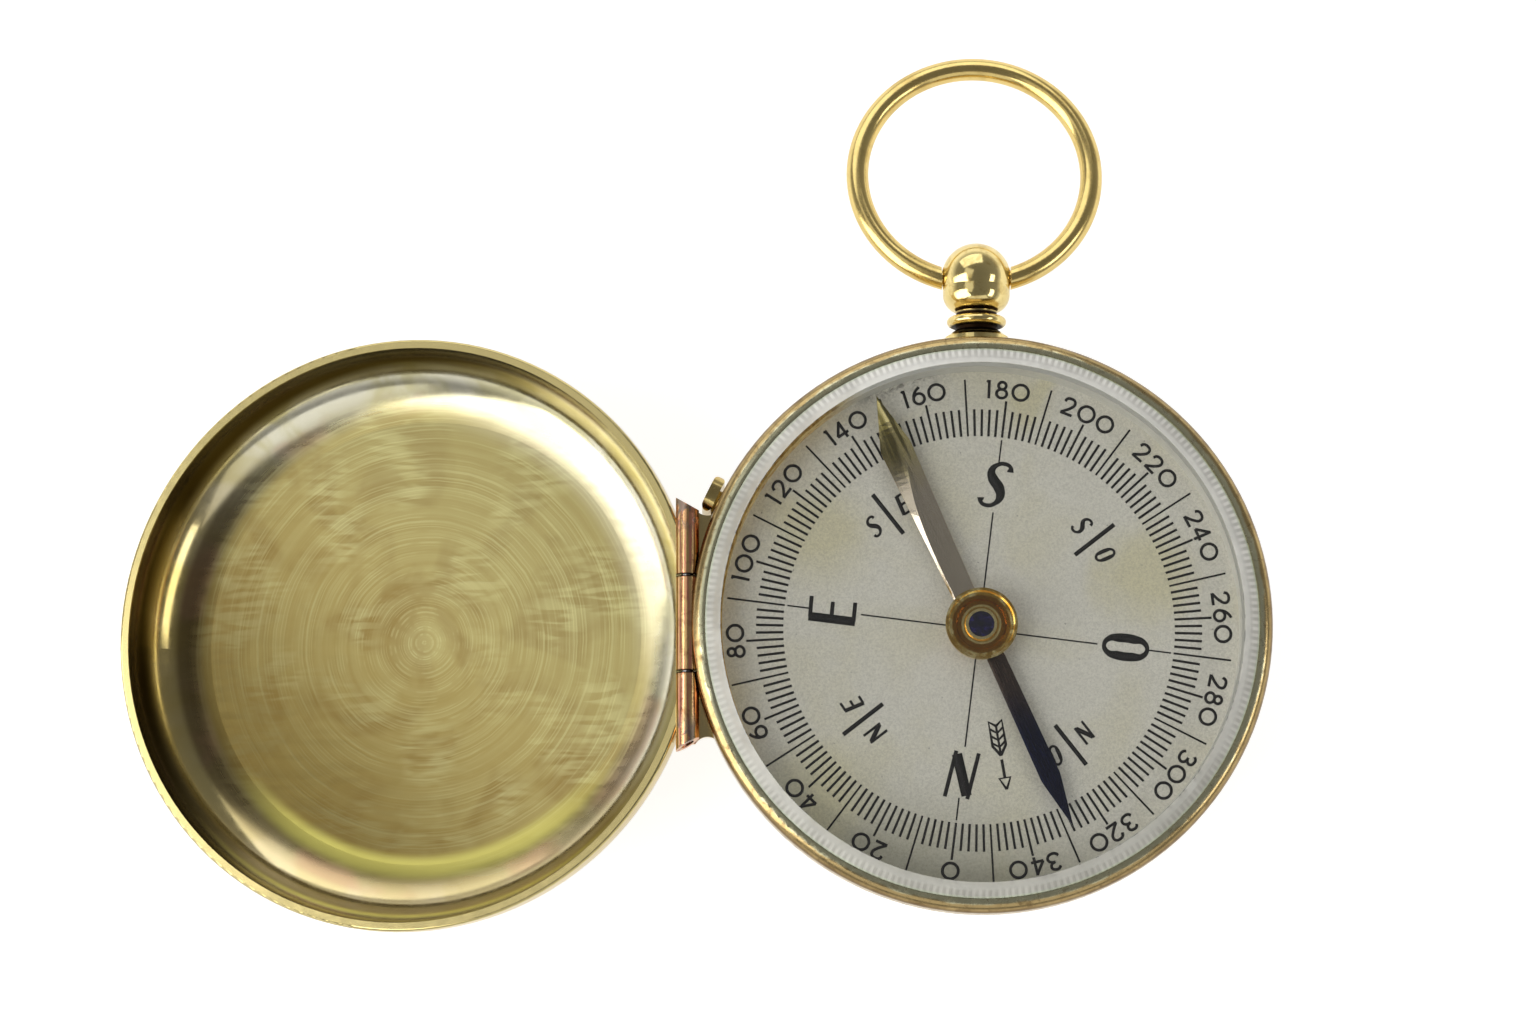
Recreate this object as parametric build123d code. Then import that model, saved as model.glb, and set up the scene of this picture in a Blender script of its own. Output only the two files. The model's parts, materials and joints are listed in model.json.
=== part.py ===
"""Open-faced brass pocket compass with a hinged lid, after the hunter cases of geologists.

Frame: the origin is the centre of the flat case back, +Z is the needle's axis, +Y runs to the
pendant and -X to the lid hinge. The lid is modelled shut and then turned about the hinge to the
angle at which it lies open, and the bow is modelled level and then dropped.
All lengths are in millimetres and all angles in degrees.
"""
from build123d import *
import math
import os

# ---- Case and bezel ------------------------------------------------------------------------
CASE_R = 21.2              # outside of the drawn case wall
CASE_WALL = 0.7
CASE_FLOOR = 0.8
CASE_CORNER_R = 3.0        # outside rounding between back and wall
CASE_TOP_Z = 10.9          # top edge of the wall, on which the glass lies
BEZEL_OVERHANG = 1.3       # of the bezel beyond the case wall
BEZEL_SKIRT_H = 1.3        # of the bezel below the wall's top edge
BEZEL_RISE = 1.1           # of the bezel above the wall's top edge
BEZEL_LIP_W = 1.05
BEZEL_ROUND_R = 0.9
BEZEL_FOOT_ROUND_R = 0.2

# ---- Glass ---------------------------------------------------------------------------------
CRYSTAL_CLEAR = 0.05       # between glass and bezel bore
CRYSTAL_EDGE_H = 1.05      # height of the upright edge
CRYSTAL_BEVEL_H = 0.7
CRYSTAL_BEVEL_W = 1.2

# ---- Dial ----------------------------------------------------------------------------------
DIAL_T = 0.4
DIAL_CLEAR = 0.1           # between dial edge and case wall
RING_WALL = 0.4            # retaining ring, between dial and glass
RING_H = 2.6
SEAT_WALL = 0.8            # seat ring under the dial
SEAT_H = 4.4

# ---- Pivot, lifter and needle --------------------------------------------------------------
POST_R = 0.7
POST_TIP_R = 0.06
POST_CONE_H = 1.5
BOSS_R = 2.0
BOSS_H = 1.6
BOSS_ROUND_R = 0.3
SLEEVE_CLEAR = 0.06        # running fit of the lifter on the post
SLEEVE_R = 1.3
SLEEVE_FLANGE_R = 2.0
SLEEVE_FLANGE_H = 0.45
SLEEVE_DIAL_CLEAR = 0.2
LIFTER_GAP = 0.15          # between lifter and needle collar, and between lever and lifter
COLLAR_R = 2.1
COLLAR_H = 0.3
COLLAR_ABOVE_DIAL = 0.55
BLADE_T = 0.2
SPIGOT_R = 1.45
HUB_R = 2.8
HUB_FOOT_R = 2.2
HUB_H = 0.95               # from the blade's top to the lip
HUB_FLARE_H = 0.4
HUB_LIP_W = 0.2
HUB_DISH_FLOOR_H = 0.3
HUB_STEP_H = 0.22
HUB_STEP_R = 1.95
HUB_STEP_FALL = 0.05
HUB_DRAFT = 0.08           # slope of the dish's inner walls
HUB_RING_W = 0.22
HUB_RING_H = 0.62
JEWEL_R = 1.0
JEWEL_DROP = 0.1           # below the hub's inner ring
JEWEL_H = 0.75
JEWEL_CUP_H = 0.42
JEWEL_CUP_R = 0.5
POINT_GAP = 0.03           # between the post's tip and the jewel's cup
NEEDLE_BEARING = -66.0     # polar angle of the north arm
SOUTH_TIP_CLEAR = 0.35     # between the south tip and the retaining ring
SOUTH_SHOULDER_BACK = 4.25
SOUTH_ROOT_W = 1.8
SOUTH_SHOULDER_W = 2.5
NORTH_SHORTER = 2.55       # north arm than south arm
NORTH_SHOULDER_BACK = 4.2
NORTH_ROOT_W = 1.4
NORTH_SHOULDER_W = 1.6

# ---- Needle lock ---------------------------------------------------------------------------
LEVER_POLAR = 153.5        # direction in which the lever leaves the case
LEVER_T = 0.5
LEVER_W = 2.2
LEVER_BELOW_DIAL = 2.8
LEVER_PIVOT_IN = 8.2       # pivot inside the case wall's outer face
LEVER_EYE_R = 0.8
LEVER_ANGLE = 2.1          # travel of the lever
FORK_R = 2.2
FORK_SLOT_W = 2.0
PIVOT_PIN_R = 0.4
PIVOT_PIN_CLEAR = 0.03
TAB_T = 0.85
TAB_W = 2.9
TAB_GAP = 0.25             # between bezel and tab
TAB_LID_GAP = 0.1          # between the tab's tip and the shut lid
TAB_END_R = 1.2
SLOT_CLEAR = 0.3           # around the lever where it leaves the case
BRACKET_L = 3.0
BRACKET_BASE_T = 0.5
CHEEK_T = 0.5
CHEEK_GAP = 0.15
CHEEK_OVER_PIN = 0.45
SPRING_T = 0.25
SPRING_W = 1.8
SPRING_L = 2.8
SPRING_IN = 3.2            # spring's outer end inside the case wall's outer face
SCREW_R = 0.4
SCREW_HEAD_R = 0.8
SCREW_HEAD_H = 0.45
SCREW_SLOT_W = 0.2
SCREW_DEPTH = 0.45

# ---- Hinge and lid -------------------------------------------------------------------------
KNUCKLE_R = 0.9
KNUCKLE_HALF = 3.7         # half the length of the case's knuckle
KNUCKLE_GAP = 0.1
KNUCKLE_ABOVE_WEB = 0.15
BARREL_HALF = 9.9
BARREL_END_SLANT = 30.0
HINGE_INSET = 0.58         # hinge axis inside the lid's outer face
HINGE_CLEAR = 0.12         # around the turning knuckles
HINGE_PIN_R = 0.45
HINGE_PIN_CLEAR = 0.03
LID_NOTCH_CLEAR = 0.55     # between the case's knuckle and the lid's rim
WEB_T = 0.55
WEB_INSET = 0.7            # of the web's ends from the barrel's ends
WEB_END_R = 1.1
WEB_CLEAR = 0.2            # between web and open lid
LID_WALL = 0.68
LID_BORE_CLEAR = 0.15      # between lid bore and bezel
LID_TOP_T = 0.6
LID_H = 6.4
LID_CORNER_R = 5.6
LID_RIM_ROUND_R = 0.2
LID_OPEN = 193.0           # angle from shut to lying open

# ---- Pendant and bow -----------------------------------------------------------------------
PENDANT_BELOW_DIAL = 1.7
BALL_R = 2.75
BALL_SKIRT_H = 2.85        # of the ball's fuller lower part, below its centre
BALL_SKIRT_IN = 0.1        # of the skirt inside the ball's widest circle
BALL_SKIRT_ROUND_R = 1.5
BALL_REACH = 5.6           # of the ball's centre, and of the bow's axis, beyond the bezel
GROOVE_R = 1.6
BEAD_R = 2.35
BEAD_REACH = 2.05
BEAD_T = 0.8
NECK_R = 1.65
FLANGE_R = 2.5
FLANGE_REACH = 0.8
FLANGE_T = 0.6
FLARE_H = 0.6              # of the cone from the flange up to the neck
FOOT_R = 3.0
STEM_R = 1.0
STEM_OVER_NUT = 0.3
NUT_R = 1.5
NUT_T = 1.2
NUT_CLEAR = 0.3
BOW_R = 9.28               # centre line of the bow's wire
BOW_WIRE_R = 0.88
BOW_REACH = 8.85           # from the bow's axis to its centre
BOW_DROP = 12.0            # below level
BOW_PIN_R = 0.6
BOW_PIN_IN = 1.0           # distance of the pin ends from the ball's centre
BOW_PIN_CLEAR = 0.08
BOW_BALL_CLEAR = 0.12

# ---- Worked out from the above -------------------------------------------------------------
CASE_BORE_R = CASE_R - CASE_WALL
BEZEL_R = CASE_R + BEZEL_OVERHANG
BEZEL_BORE_R = BEZEL_R - BEZEL_LIP_W
BEZEL_BOTTOM_Z = CASE_TOP_Z - BEZEL_SKIRT_H
BEZEL_TOP_Z = CASE_TOP_Z + BEZEL_RISE
CRYSTAL_R = BEZEL_BORE_R - CRYSTAL_CLEAR
CRYSTAL_TOP_Z = CASE_TOP_Z + CRYSTAL_EDGE_H + CRYSTAL_BEVEL_H
DIAL_TOP_Z = CASE_TOP_Z - RING_H
DIAL_BOTTOM_Z = DIAL_TOP_Z - DIAL_T
RING_BORE_R = CASE_BORE_R - RING_WALL
SEAT_BORE_R = CASE_BORE_R - SEAT_WALL
COLLAR_Z = DIAL_TOP_Z + COLLAR_ABOVE_DIAL
BLADE_Z = COLLAR_Z + COLLAR_H
HUB_Z = BLADE_Z + BLADE_T
JEWEL_TOP_Z = HUB_Z + HUB_RING_H - JEWEL_DROP
JEWEL_Z = JEWEL_TOP_Z - JEWEL_H
POST_TIP_Z = JEWEL_Z + JEWEL_CUP_H - POINT_GAP
SOUTH_TIP_R = RING_BORE_R - SOUTH_TIP_CLEAR
NORTH_TIP_R = SOUTH_TIP_R - NORTH_SHORTER
LEVER_TOP_Z = DIAL_BOTTOM_Z - LEVER_BELOW_DIAL
LEVER_Z = LEVER_TOP_Z - LEVER_T / 2
LEVER_PIVOT_DIST = CASE_R - LEVER_PIVOT_IN
LEVER_DROP = LEVER_PIVOT_DIST * math.sin(math.radians(LEVER_ANGLE))
SLEEVE_Z = LEVER_TOP_Z + LIFTER_GAP
SLEEVE_TOP_Z = COLLAR_Z - LIFTER_GAP
SPRING_OUT_DIST = CASE_R - SPRING_IN
SPRING_IN_DIST = SPRING_OUT_DIST - SPRING_L
LID_R = BEZEL_R + LID_BORE_CLEAR + LID_WALL
HINGE_X = LID_R - HINGE_INSET
HINGE_Z = BEZEL_BOTTOM_Z + KNUCKLE_ABOVE_WEB + KNUCKLE_R
WEB_HALF = BARREL_HALF - WEB_INSET
TAB_IN_R = BEZEL_R + TAB_GAP
TAB_TOP_Z = HINGE_Z - TAB_LID_GAP
PENDANT_Z = DIAL_BOTTOM_Z - PENDANT_BELOW_DIAL
BALL_Y = BEZEL_R + BALL_REACH
BEAD_Y = BEZEL_R + BEAD_REACH
FLANGE_Y = BEZEL_R + FLANGE_REACH
HINGE_AXIS = Axis((-HINGE_X, 0, HINGE_Z), (0, 1, 0))
BOW_AXIS = Axis((0, BALL_Y, PENDANT_Z), (1, 0, 0))
LEVER_TURN = Rotation(0, 0, LEVER_POLAR)


# ---- Shapes used more than once ------------------------------------------------------------
def rod(radius, z_low, z_high):
    """A cylinder about Z between two heights."""
    upright = (Align.CENTER, Align.CENTER, Align.MIN)
    return Pos(0, 0, z_low) * Cylinder(radius, z_high - z_low, align=upright)


def tube(radius, bore, z_low, z_high):
    """A plain ring about Z."""
    return rod(radius, z_low, z_high) - rod(bore, z_low, z_high)


def bar(axis_plane, radius, low, high):
    """A cylinder along a plane's normal, from one distance to another."""
    return axis_plane * rod(radius, low, high)


def block(low, high):
    """A box between two opposite corners."""
    size = [b - a for a, b in zip(low, high)]
    return Pos(*low) * Box(*size, align=(Align.MIN, Align.MIN, Align.MIN))


def turned(outline):
    """A solid turned about Z from a closed outline of (radius, height) points."""
    face = make_face(Plane.XZ * Polyline(*outline, close=True))
    return revolve(face, Axis.Z)


def round_edges(solid, radius, z, r):
    """Round the circular edges at one height and radius."""
    rings = [e for e in solid.edges().filter_by(GeomType.CIRCLE)
             if abs(e.arc_center.Z - z) < 1e-4 and abs(e.radius - r) < 1e-4]
    return fillet(rings, radius)


def cup(radius, wall, floor, height, corner):
    """A drawn cup that opens upwards, of even thickness round its corner."""
    outer = round_edges(rod(radius, 0, height), corner, 0, radius)
    inner_corner = max(corner - floor, 0.1)
    inner = round_edges(rod(radius - wall, floor, height), inner_corner, floor, radius - wall)
    return outer - inner


def hinge_rod(radius, y_low, y_high):
    """A cylinder along the hinge axis."""
    along = Plane((-HINGE_X, 0, HINGE_Z), x_dir=(0, 0, 1), z_dir=(0, 1, 0))
    return bar(along, radius, y_low, y_high)


def hinge_tube(bore, y_low, y_high):
    """A length of the hinge's barrel with its bore."""
    return hinge_rod(KNUCKLE_R, y_low, y_high) - hinge_rod(bore, y_low, y_high)


def pendant_rod(radius, y_low, y_high):
    """A cylinder along the pendant's axis."""
    return bar(Plane((0, 0, PENDANT_Z), x_dir=(1, 0, 0), z_dir=(0, 1, 0)), radius, y_low, y_high)


def bow_rod(radius, half):
    """A cylinder along the bow's axis, centred on the ball."""
    return bar(Plane((0, BALL_Y, PENDANT_Z), x_dir=(0, 1, 0), z_dir=(1, 0, 0)), radius, -half, half)


def lever_rod(radius, half):
    """A cylinder along the lever's pivot, in the lever's own frame."""
    across = Plane((LEVER_PIVOT_DIST, 0, LEVER_Z), x_dir=(1, 0, 0), z_dir=(0, 1, 0))
    return bar(across, radius, -half, half)


def opened(shape):
    """Turn a shape on the shut lid to where the lid lies open."""
    return shape.rotate(HINGE_AXIS, -LID_OPEN)


# ---- Case ----------------------------------------------------------------------------------
def lever_slot():
    """The window through which the lever leaves the case."""
    half = LEVER_W / 2 + SLOT_CLEAR
    low = LEVER_TOP_Z - LEVER_T - LEVER_DROP - SLOT_CLEAR
    slot = block((CASE_R / 2, -half, low), (BEZEL_R, half, LEVER_TOP_Z + SLOT_CLEAR))
    return LEVER_TURN * slot


def screw_hole():
    """The blind hole of the spring's screw."""
    shank = rod(SCREW_R, CASE_FLOOR - SCREW_DEPTH, CASE_FLOOR + SPRING_T)
    return LEVER_TURN * Pos(SPRING_OUT_DIST - SPRING_L / 2, 0, 0) * shank


def case_body():
    body = cup(CASE_R, CASE_WALL, CASE_FLOOR, CASE_TOP_Z, CASE_CORNER_R)
    return body - lever_slot() - screw_hole() - pendant_rod(STEM_R, 0, BEZEL_R)


def bezel_ring():
    ring = rod(BEZEL_R, BEZEL_BOTTOM_Z, BEZEL_TOP_Z)
    ring = round_edges(ring, BEZEL_ROUND_R, BEZEL_TOP_Z, BEZEL_R)
    ring = round_edges(ring, BEZEL_FOOT_ROUND_R, BEZEL_BOTTOM_Z, BEZEL_R)
    ring -= rod(CASE_R, BEZEL_BOTTOM_Z, CASE_TOP_Z)
    ring -= rod(BEZEL_BORE_R, CASE_TOP_Z, BEZEL_TOP_Z)
    ring -= hinge_rod(KNUCKLE_R, -KNUCKLE_HALF, KNUCKLE_HALF)
    reach = BARREL_HALF + HINGE_CLEAR
    for low, high in ((KNUCKLE_HALF, reach), (-reach, -KNUCKLE_HALF)):
        ring -= hinge_rod(KNUCKLE_R + HINGE_CLEAR, low, high)
    return ring


def crystal():
    edge_z = CASE_TOP_Z + CRYSTAL_EDGE_H
    flat_r = CRYSTAL_R - CRYSTAL_BEVEL_W
    return turned([(0, CASE_TOP_Z), (CRYSTAL_R, CASE_TOP_Z), (CRYSTAL_R, edge_z),
                   (flat_r, CRYSTAL_TOP_Z), (0, CRYSTAL_TOP_Z)])


def dial_plate():
    return tube(CASE_BORE_R - DIAL_CLEAR, SLEEVE_R + SLEEVE_DIAL_CLEAR, DIAL_BOTTOM_Z, DIAL_TOP_Z)


def dial_retaining_ring():
    return tube(CASE_BORE_R, RING_BORE_R, DIAL_TOP_Z, CASE_TOP_Z)


def dial_seat_ring():
    ring = tube(CASE_BORE_R, SEAT_BORE_R, DIAL_BOTTOM_Z - SEAT_H, DIAL_BOTTOM_Z)
    return ring - lever_slot() - pendant_rod(NUT_R + NUT_CLEAR, 0, CASE_R)


# ---- Pivot and needle ----------------------------------------------------------------------
def pivot_boss():
    boss = tube(BOSS_R, POST_R, CASE_FLOOR, CASE_FLOOR + BOSS_H)
    return round_edges(boss, BOSS_ROUND_R, CASE_FLOOR + BOSS_H, BOSS_R)


def pivot_post():
    cone_z = POST_TIP_Z - POST_CONE_H
    return turned([(0, CASE_FLOOR), (POST_R, CASE_FLOOR), (POST_R, cone_z),
                   (POST_TIP_R, POST_TIP_Z), (0, POST_TIP_Z)])


def lifter_sleeve():
    flange = rod(SLEEVE_FLANGE_R, SLEEVE_Z, SLEEVE_Z + SLEEVE_FLANGE_H)
    sleeve = flange + rod(SLEEVE_R, SLEEVE_Z, SLEEVE_TOP_Z)
    return sleeve - rod(POST_R + SLEEVE_CLEAR, SLEEVE_Z, SLEEVE_TOP_Z)


def needle_blade():
    """A lozenge-ended blade, the south arm longer and wider than the north arm."""
    north_shoulder = NORTH_TIP_R - NORTH_SHOULDER_BACK
    south_shoulder = SOUTH_TIP_R - SOUTH_SHOULDER_BACK
    upper = [(NORTH_TIP_R, 0), (north_shoulder, NORTH_SHOULDER_W / 2), (0, NORTH_ROOT_W / 2),
             (0, SOUTH_ROOT_W / 2), (-south_shoulder, SOUTH_SHOULDER_W / 2), (-SOUTH_TIP_R, 0)]
    lower = [(x, -y) for x, y in reversed(upper[1:-1])]
    blade = extrude(make_face(Polyline(*upper, *lower, close=True)), BLADE_T)
    blade = Pos(0, 0, BLADE_Z) * blade
    blade += rod(HUB_FOOT_R, BLADE_Z, HUB_Z)
    blade -= rod(SPIGOT_R, BLADE_Z, HUB_Z)
    return Rotation(0, 0, NEEDLE_BEARING) * blade


def needle_hub():
    """A turned cup: lip, stepped dish and inner ring, on a spigot that passes the blade."""
    lip_z = HUB_Z + HUB_H
    dish_z = HUB_Z + HUB_DISH_FLOOR_H
    step_z = dish_z + HUB_STEP_H
    ring_z = HUB_Z + HUB_RING_H
    ring_r = JEWEL_R + HUB_RING_W
    dish_r = HUB_R - HUB_LIP_W
    return turned([(JEWEL_R, COLLAR_Z), (SPIGOT_R, COLLAR_Z), (SPIGOT_R, HUB_Z), (HUB_FOOT_R, HUB_Z),
                   (HUB_R, HUB_Z + HUB_FLARE_H), (HUB_R, lip_z), (dish_r, lip_z),
                   (dish_r - HUB_LIP_W / 2, step_z), (HUB_STEP_R, step_z - HUB_STEP_FALL),
                   (HUB_STEP_R - HUB_DRAFT, dish_z), (ring_r + HUB_DRAFT, dish_z), (ring_r, ring_z),
                   (JEWEL_R, ring_z)])


def jewel_cup():
    apex_z = JEWEL_Z + JEWEL_CUP_H
    return turned([(JEWEL_CUP_R, JEWEL_Z), (JEWEL_R, JEWEL_Z), (JEWEL_R, JEWEL_TOP_Z),
                   (0, JEWEL_TOP_Z), (0, apex_z), (POST_TIP_R + POINT_GAP, apex_z)])


def needle_collar():
    return tube(COLLAR_R, SPIGOT_R, COLLAR_Z, BLADE_Z)


# ---- Needle lock ---------------------------------------------------------------------------
def lock_lever():
    """A rocking bar: forked under the lifter, with an upright tab outside the case wall."""
    bottom_z = LEVER_TOP_Z - LEVER_T
    outer = TAB_IN_R + TAB_T
    arm = block((0, -LEVER_W / 2, bottom_z), (outer, LEVER_W / 2, LEVER_TOP_Z))
    lever = arm + rod(FORK_R, bottom_z, LEVER_TOP_Z) + lever_rod(LEVER_EYE_R, LEVER_W / 2)
    lever -= block((-FORK_R, -FORK_SLOT_W / 2, 0), (FORK_SLOT_W / 2, FORK_SLOT_W / 2, CASE_TOP_Z))
    lever -= rod(FORK_SLOT_W / 2, 0, CASE_TOP_Z)
    tab = block((TAB_IN_R, -TAB_W / 2, bottom_z), (outer, TAB_W / 2, TAB_TOP_Z))
    tips = tab.edges().filter_by(Axis.X).sort_by(Axis.Z)[-2:]
    oval = Pos((TAB_IN_R + outer) / 2, 0) * SlotOverall(TAB_W, TAB_T, rotation=90)
    lever += fillet(tips, TAB_END_R) & extrude(Pos(0, 0, bottom_z) * oval, TAB_TOP_Z - bottom_z)
    lever -= lever_rod(PIVOT_PIN_R + PIVOT_PIN_CLEAR, LEVER_W)
    return LEVER_TURN * lever


def bracket_width():
    return LEVER_W / 2 + CHEEK_GAP + CHEEK_T


def lever_bracket():
    """A U of sheet brass that carries the lever's pin."""
    half = bracket_width()
    low_x = LEVER_PIVOT_DIST - BRACKET_L / 2
    top_z = LEVER_Z + PIVOT_PIN_R + CHEEK_OVER_PIN
    solid = block((low_x, -half, CASE_FLOOR), (low_x + BRACKET_L, half, top_z))
    gap = half - CHEEK_T
    solid -= block((low_x, -gap, CASE_FLOOR + BRACKET_BASE_T), (low_x + BRACKET_L, gap, top_z))
    return LEVER_TURN * (solid - lever_rod(PIVOT_PIN_R, half))


def lever_pivot_pin():
    return LEVER_TURN * lever_rod(PIVOT_PIN_R, bracket_width())


def lever_spring():
    """A leaf folded back on itself: flat under the screw, and up to the lever."""
    floor = CASE_FLOOR
    under = LEVER_TOP_Z - LEVER_T
    inner, outer = SPRING_IN_DIST, SPRING_OUT_DIST
    side = [(outer, floor), (inner, floor), (inner - SPRING_T, floor + 2 * SPRING_T),
            (outer - SPRING_T, under), (outer, under), (outer, under - SPRING_T),
            (inner + SPRING_T / 2, floor + 2 * SPRING_T), (inner + SPRING_T, floor + SPRING_T),
            (outer, floor + SPRING_T)]
    face = make_face(Plane.XZ * Polyline(*side, close=True))
    leaf = Pos(0, SPRING_W / 2, 0) * extrude(face, SPRING_W)
    return LEVER_TURN * leaf - screw_hole()


def spring_screw():
    head_z = CASE_FLOOR + SPRING_T
    head = rod(SCREW_HEAD_R, head_z, head_z + SCREW_HEAD_H)
    head -= block((-SCREW_HEAD_R, -SCREW_SLOT_W / 2, head_z + SCREW_HEAD_H / 2),
                  (SCREW_HEAD_R, SCREW_SLOT_W / 2, head_z + SCREW_HEAD_H))
    return LEVER_TURN * Pos(SPRING_OUT_DIST - SPRING_L / 2, 0, 0) * head + screw_hole()


# ---- Hinge and lid -------------------------------------------------------------------------
def case_knuckle():
    return hinge_tube(HINGE_PIN_R, -KNUCKLE_HALF, KNUCKLE_HALF)


def hinge_pin():
    return hinge_rod(HINGE_PIN_R, -BARREL_HALF + KNUCKLE_R, BARREL_HALF - KNUCKLE_R)


def case_hinge_web():
    """The plate under the barrel that joins the hinge to the case wall."""
    low_z = BEZEL_BOTTOM_Z - WEB_T
    web = block((-HINGE_X - KNUCKLE_R, -WEB_HALF, low_z), (-CASE_R / 2, WEB_HALF, BEZEL_BOTTOM_Z))
    web -= rod(CASE_R, low_z, BEZEL_BOTTOM_Z)
    web -= opened(rod(LID_R + WEB_CLEAR, HINGE_Z, HINGE_Z + LID_H))
    for side in (-1, 1):
        end = rod(WEB_END_R, low_z, BEZEL_BOTTOM_Z)
        web -= Pos(-CASE_R, side * (WEB_HALF + WEB_END_R / 2), 0) * end
    return web


def lid_knuckle(side):
    """One of the lid's two knuckles, cut slanting at its outer end."""
    low = KNUCKLE_HALF + KNUCKLE_GAP
    knuckle = hinge_tube(HINGE_PIN_R + HINGE_PIN_CLEAR, low, BARREL_HALF)
    wedge = block((-HINGE_X - 2 * KNUCKLE_R, 0, HINGE_Z - LID_H),
                  (-HINGE_X + 2 * KNUCKLE_R, LID_H, HINGE_Z + LID_H))
    wedge = wedge.rotate(Axis((-HINGE_X, 0, HINGE_Z), (0, 0, 1)), BARREL_END_SLANT)
    knuckle -= Pos(0, BARREL_HALF - KNUCKLE_R * math.tan(math.radians(BARREL_END_SLANT)), 0) * wedge
    if side < 0:
        knuckle = mirror(knuckle, Plane.XZ)
    return opened(knuckle)


def lid_shell():
    """A drawn cup that shuts over the bezel, its rim level with the hinge axis."""
    shell = cup(LID_R, LID_WALL, LID_TOP_T, LID_H, LID_CORNER_R)
    shell = round_edges(shell, LID_RIM_ROUND_R, LID_H, LID_R)
    shell = Pos(0, 0, HINGE_Z + LID_H) * Rotation(180, 0, 0) * shell
    low = KNUCKLE_HALF + KNUCKLE_GAP
    shell -= hinge_rod(KNUCKLE_R + LID_NOTCH_CLEAR, -low, low)
    for near, far in ((low, BARREL_HALF), (-BARREL_HALF, -low)):
        shell -= hinge_rod(KNUCKLE_R, near, far)
    return opened(shell)


# ---- Pendant and bow -----------------------------------------------------------------------
def pendant_section(radius, y_low, y_high):
    """Half the section of a round piece on the pendant's axis: radius along X, height along Y."""
    return Pos(0, y_low) * Rectangle(radius, y_high - y_low, align=(Align.MIN, Align.MIN))


def pendant_knob():
    """Ball, grooved neck, flange and stem, turned in one piece along Y."""
    wall_y = CASE_R - CASE_WALL - NUT_T - STEM_OVER_NUT
    skirt = RectangleRounded(2 * (BALL_R - BALL_SKIRT_IN), 2 * BALL_SKIRT_H, BALL_SKIRT_ROUND_R)
    lower_half = Pos(0, -BALL_SKIRT_H) * Rectangle(2 * BALL_R, 2 * BALL_SKIRT_H)
    ball = Pos(0, BALL_Y) * (Circle(BALL_R) + (skirt & lower_half))
    section = ball & pendant_section(BALL_R, BALL_Y - BALL_R, BALL_Y + BALL_R)
    bead = Pos(0, BEAD_Y) * SlotOverall(2 * BEAD_R, BEAD_T)
    section += bead & pendant_section(BEAD_R, BEAD_Y - BEAD_T / 2, BEAD_Y + BEAD_T / 2)
    section += pendant_section(GROOVE_R, BEAD_Y, BALL_Y)
    section += pendant_section(NECK_R, FLANGE_Y, BEAD_Y)
    section += make_face(Polyline((0, FLANGE_Y), (FLANGE_R, FLANGE_Y), (NECK_R, FLANGE_Y + FLARE_H),
                                  (0, FLANGE_Y + FLARE_H), close=True))
    section += pendant_section(FLANGE_R, FLANGE_Y - FLANGE_T, FLANGE_Y)
    section += pendant_section(FOOT_R, CASE_R - CASE_WALL - FOOT_R, FLANGE_Y - FLANGE_T)
    knob = Pos(0, 0, PENDANT_Z) * revolve(section, Axis.Y)
    knob -= rod(CASE_R, -CASE_TOP_Z, 2 * CASE_TOP_Z)
    knob += pendant_rod(STEM_R, wall_y, FLANGE_Y)
    return knob - bow_rod(BOW_PIN_R + BOW_PIN_CLEAR, BALL_R)


def pendant_nut():
    side = Plane((0, CASE_BORE_R - NUT_T, PENDANT_Z), x_dir=(1, 0, 0), z_dir=(0, 1, 0))
    nut = extrude(side * RegularPolygon(NUT_R, 6), NUT_T)
    return (nut & rod(CASE_BORE_R, 0, CASE_TOP_Z)) - pendant_rod(STEM_R, 0, CASE_R)


def bow_ring():
    """A wire ring, open where it meets the ball, with pins that turn in the ball."""
    ring = Pos(0, BALL_Y + BOW_REACH, PENDANT_Z) * Torus(BOW_R, BOW_WIRE_R)
    ring -= Pos(0, BALL_Y, PENDANT_Z) * Sphere(BALL_R + BOW_BALL_CLEAR)
    pins = bow_rod(BOW_PIN_R, BALL_R + BOW_WIRE_R) - bow_rod(2 * BOW_PIN_R, BOW_PIN_IN)
    ring = ring + pins
    return ring.rotate(BOW_AXIS, -BOW_DROP)


# ---- All pieces ----------------------------------------------------------------------------
PIECES = {
    "case_body": case_body,
    "bezel_ring": bezel_ring,
    "crystal": crystal,
    "dial_plate": dial_plate,
    "dial_retaining_ring": dial_retaining_ring,
    "dial_seat_ring": dial_seat_ring,
    "pivot_boss": pivot_boss,
    "pivot_post": pivot_post,
    "lifter_sleeve": lifter_sleeve,
    "needle_blade": needle_blade,
    "needle_hub": needle_hub,
    "jewel_cup": jewel_cup,
    "needle_collar": needle_collar,
    "lock_lever": lock_lever,
    "lever_bracket": lever_bracket,
    "lever_pivot_pin": lever_pivot_pin,
    "lever_spring": lever_spring,
    "spring_screw": spring_screw,
    "case_knuckle": case_knuckle,
    "case_hinge_web": case_hinge_web,
    "hinge_pin": hinge_pin,
    "lid_knuckle_upper": lambda: lid_knuckle(1),
    "lid_knuckle_lower": lambda: lid_knuckle(-1),
    "lid_shell": lid_shell,
    "pendant_knob": pendant_knob,
    "pendant_nut": pendant_nut,
    "bow_ring": bow_ring,
}

os.makedirs("parts", exist_ok=True)
for name, make in PIECES.items():
    export_step(make(), f"parts/{name}.step")
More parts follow.
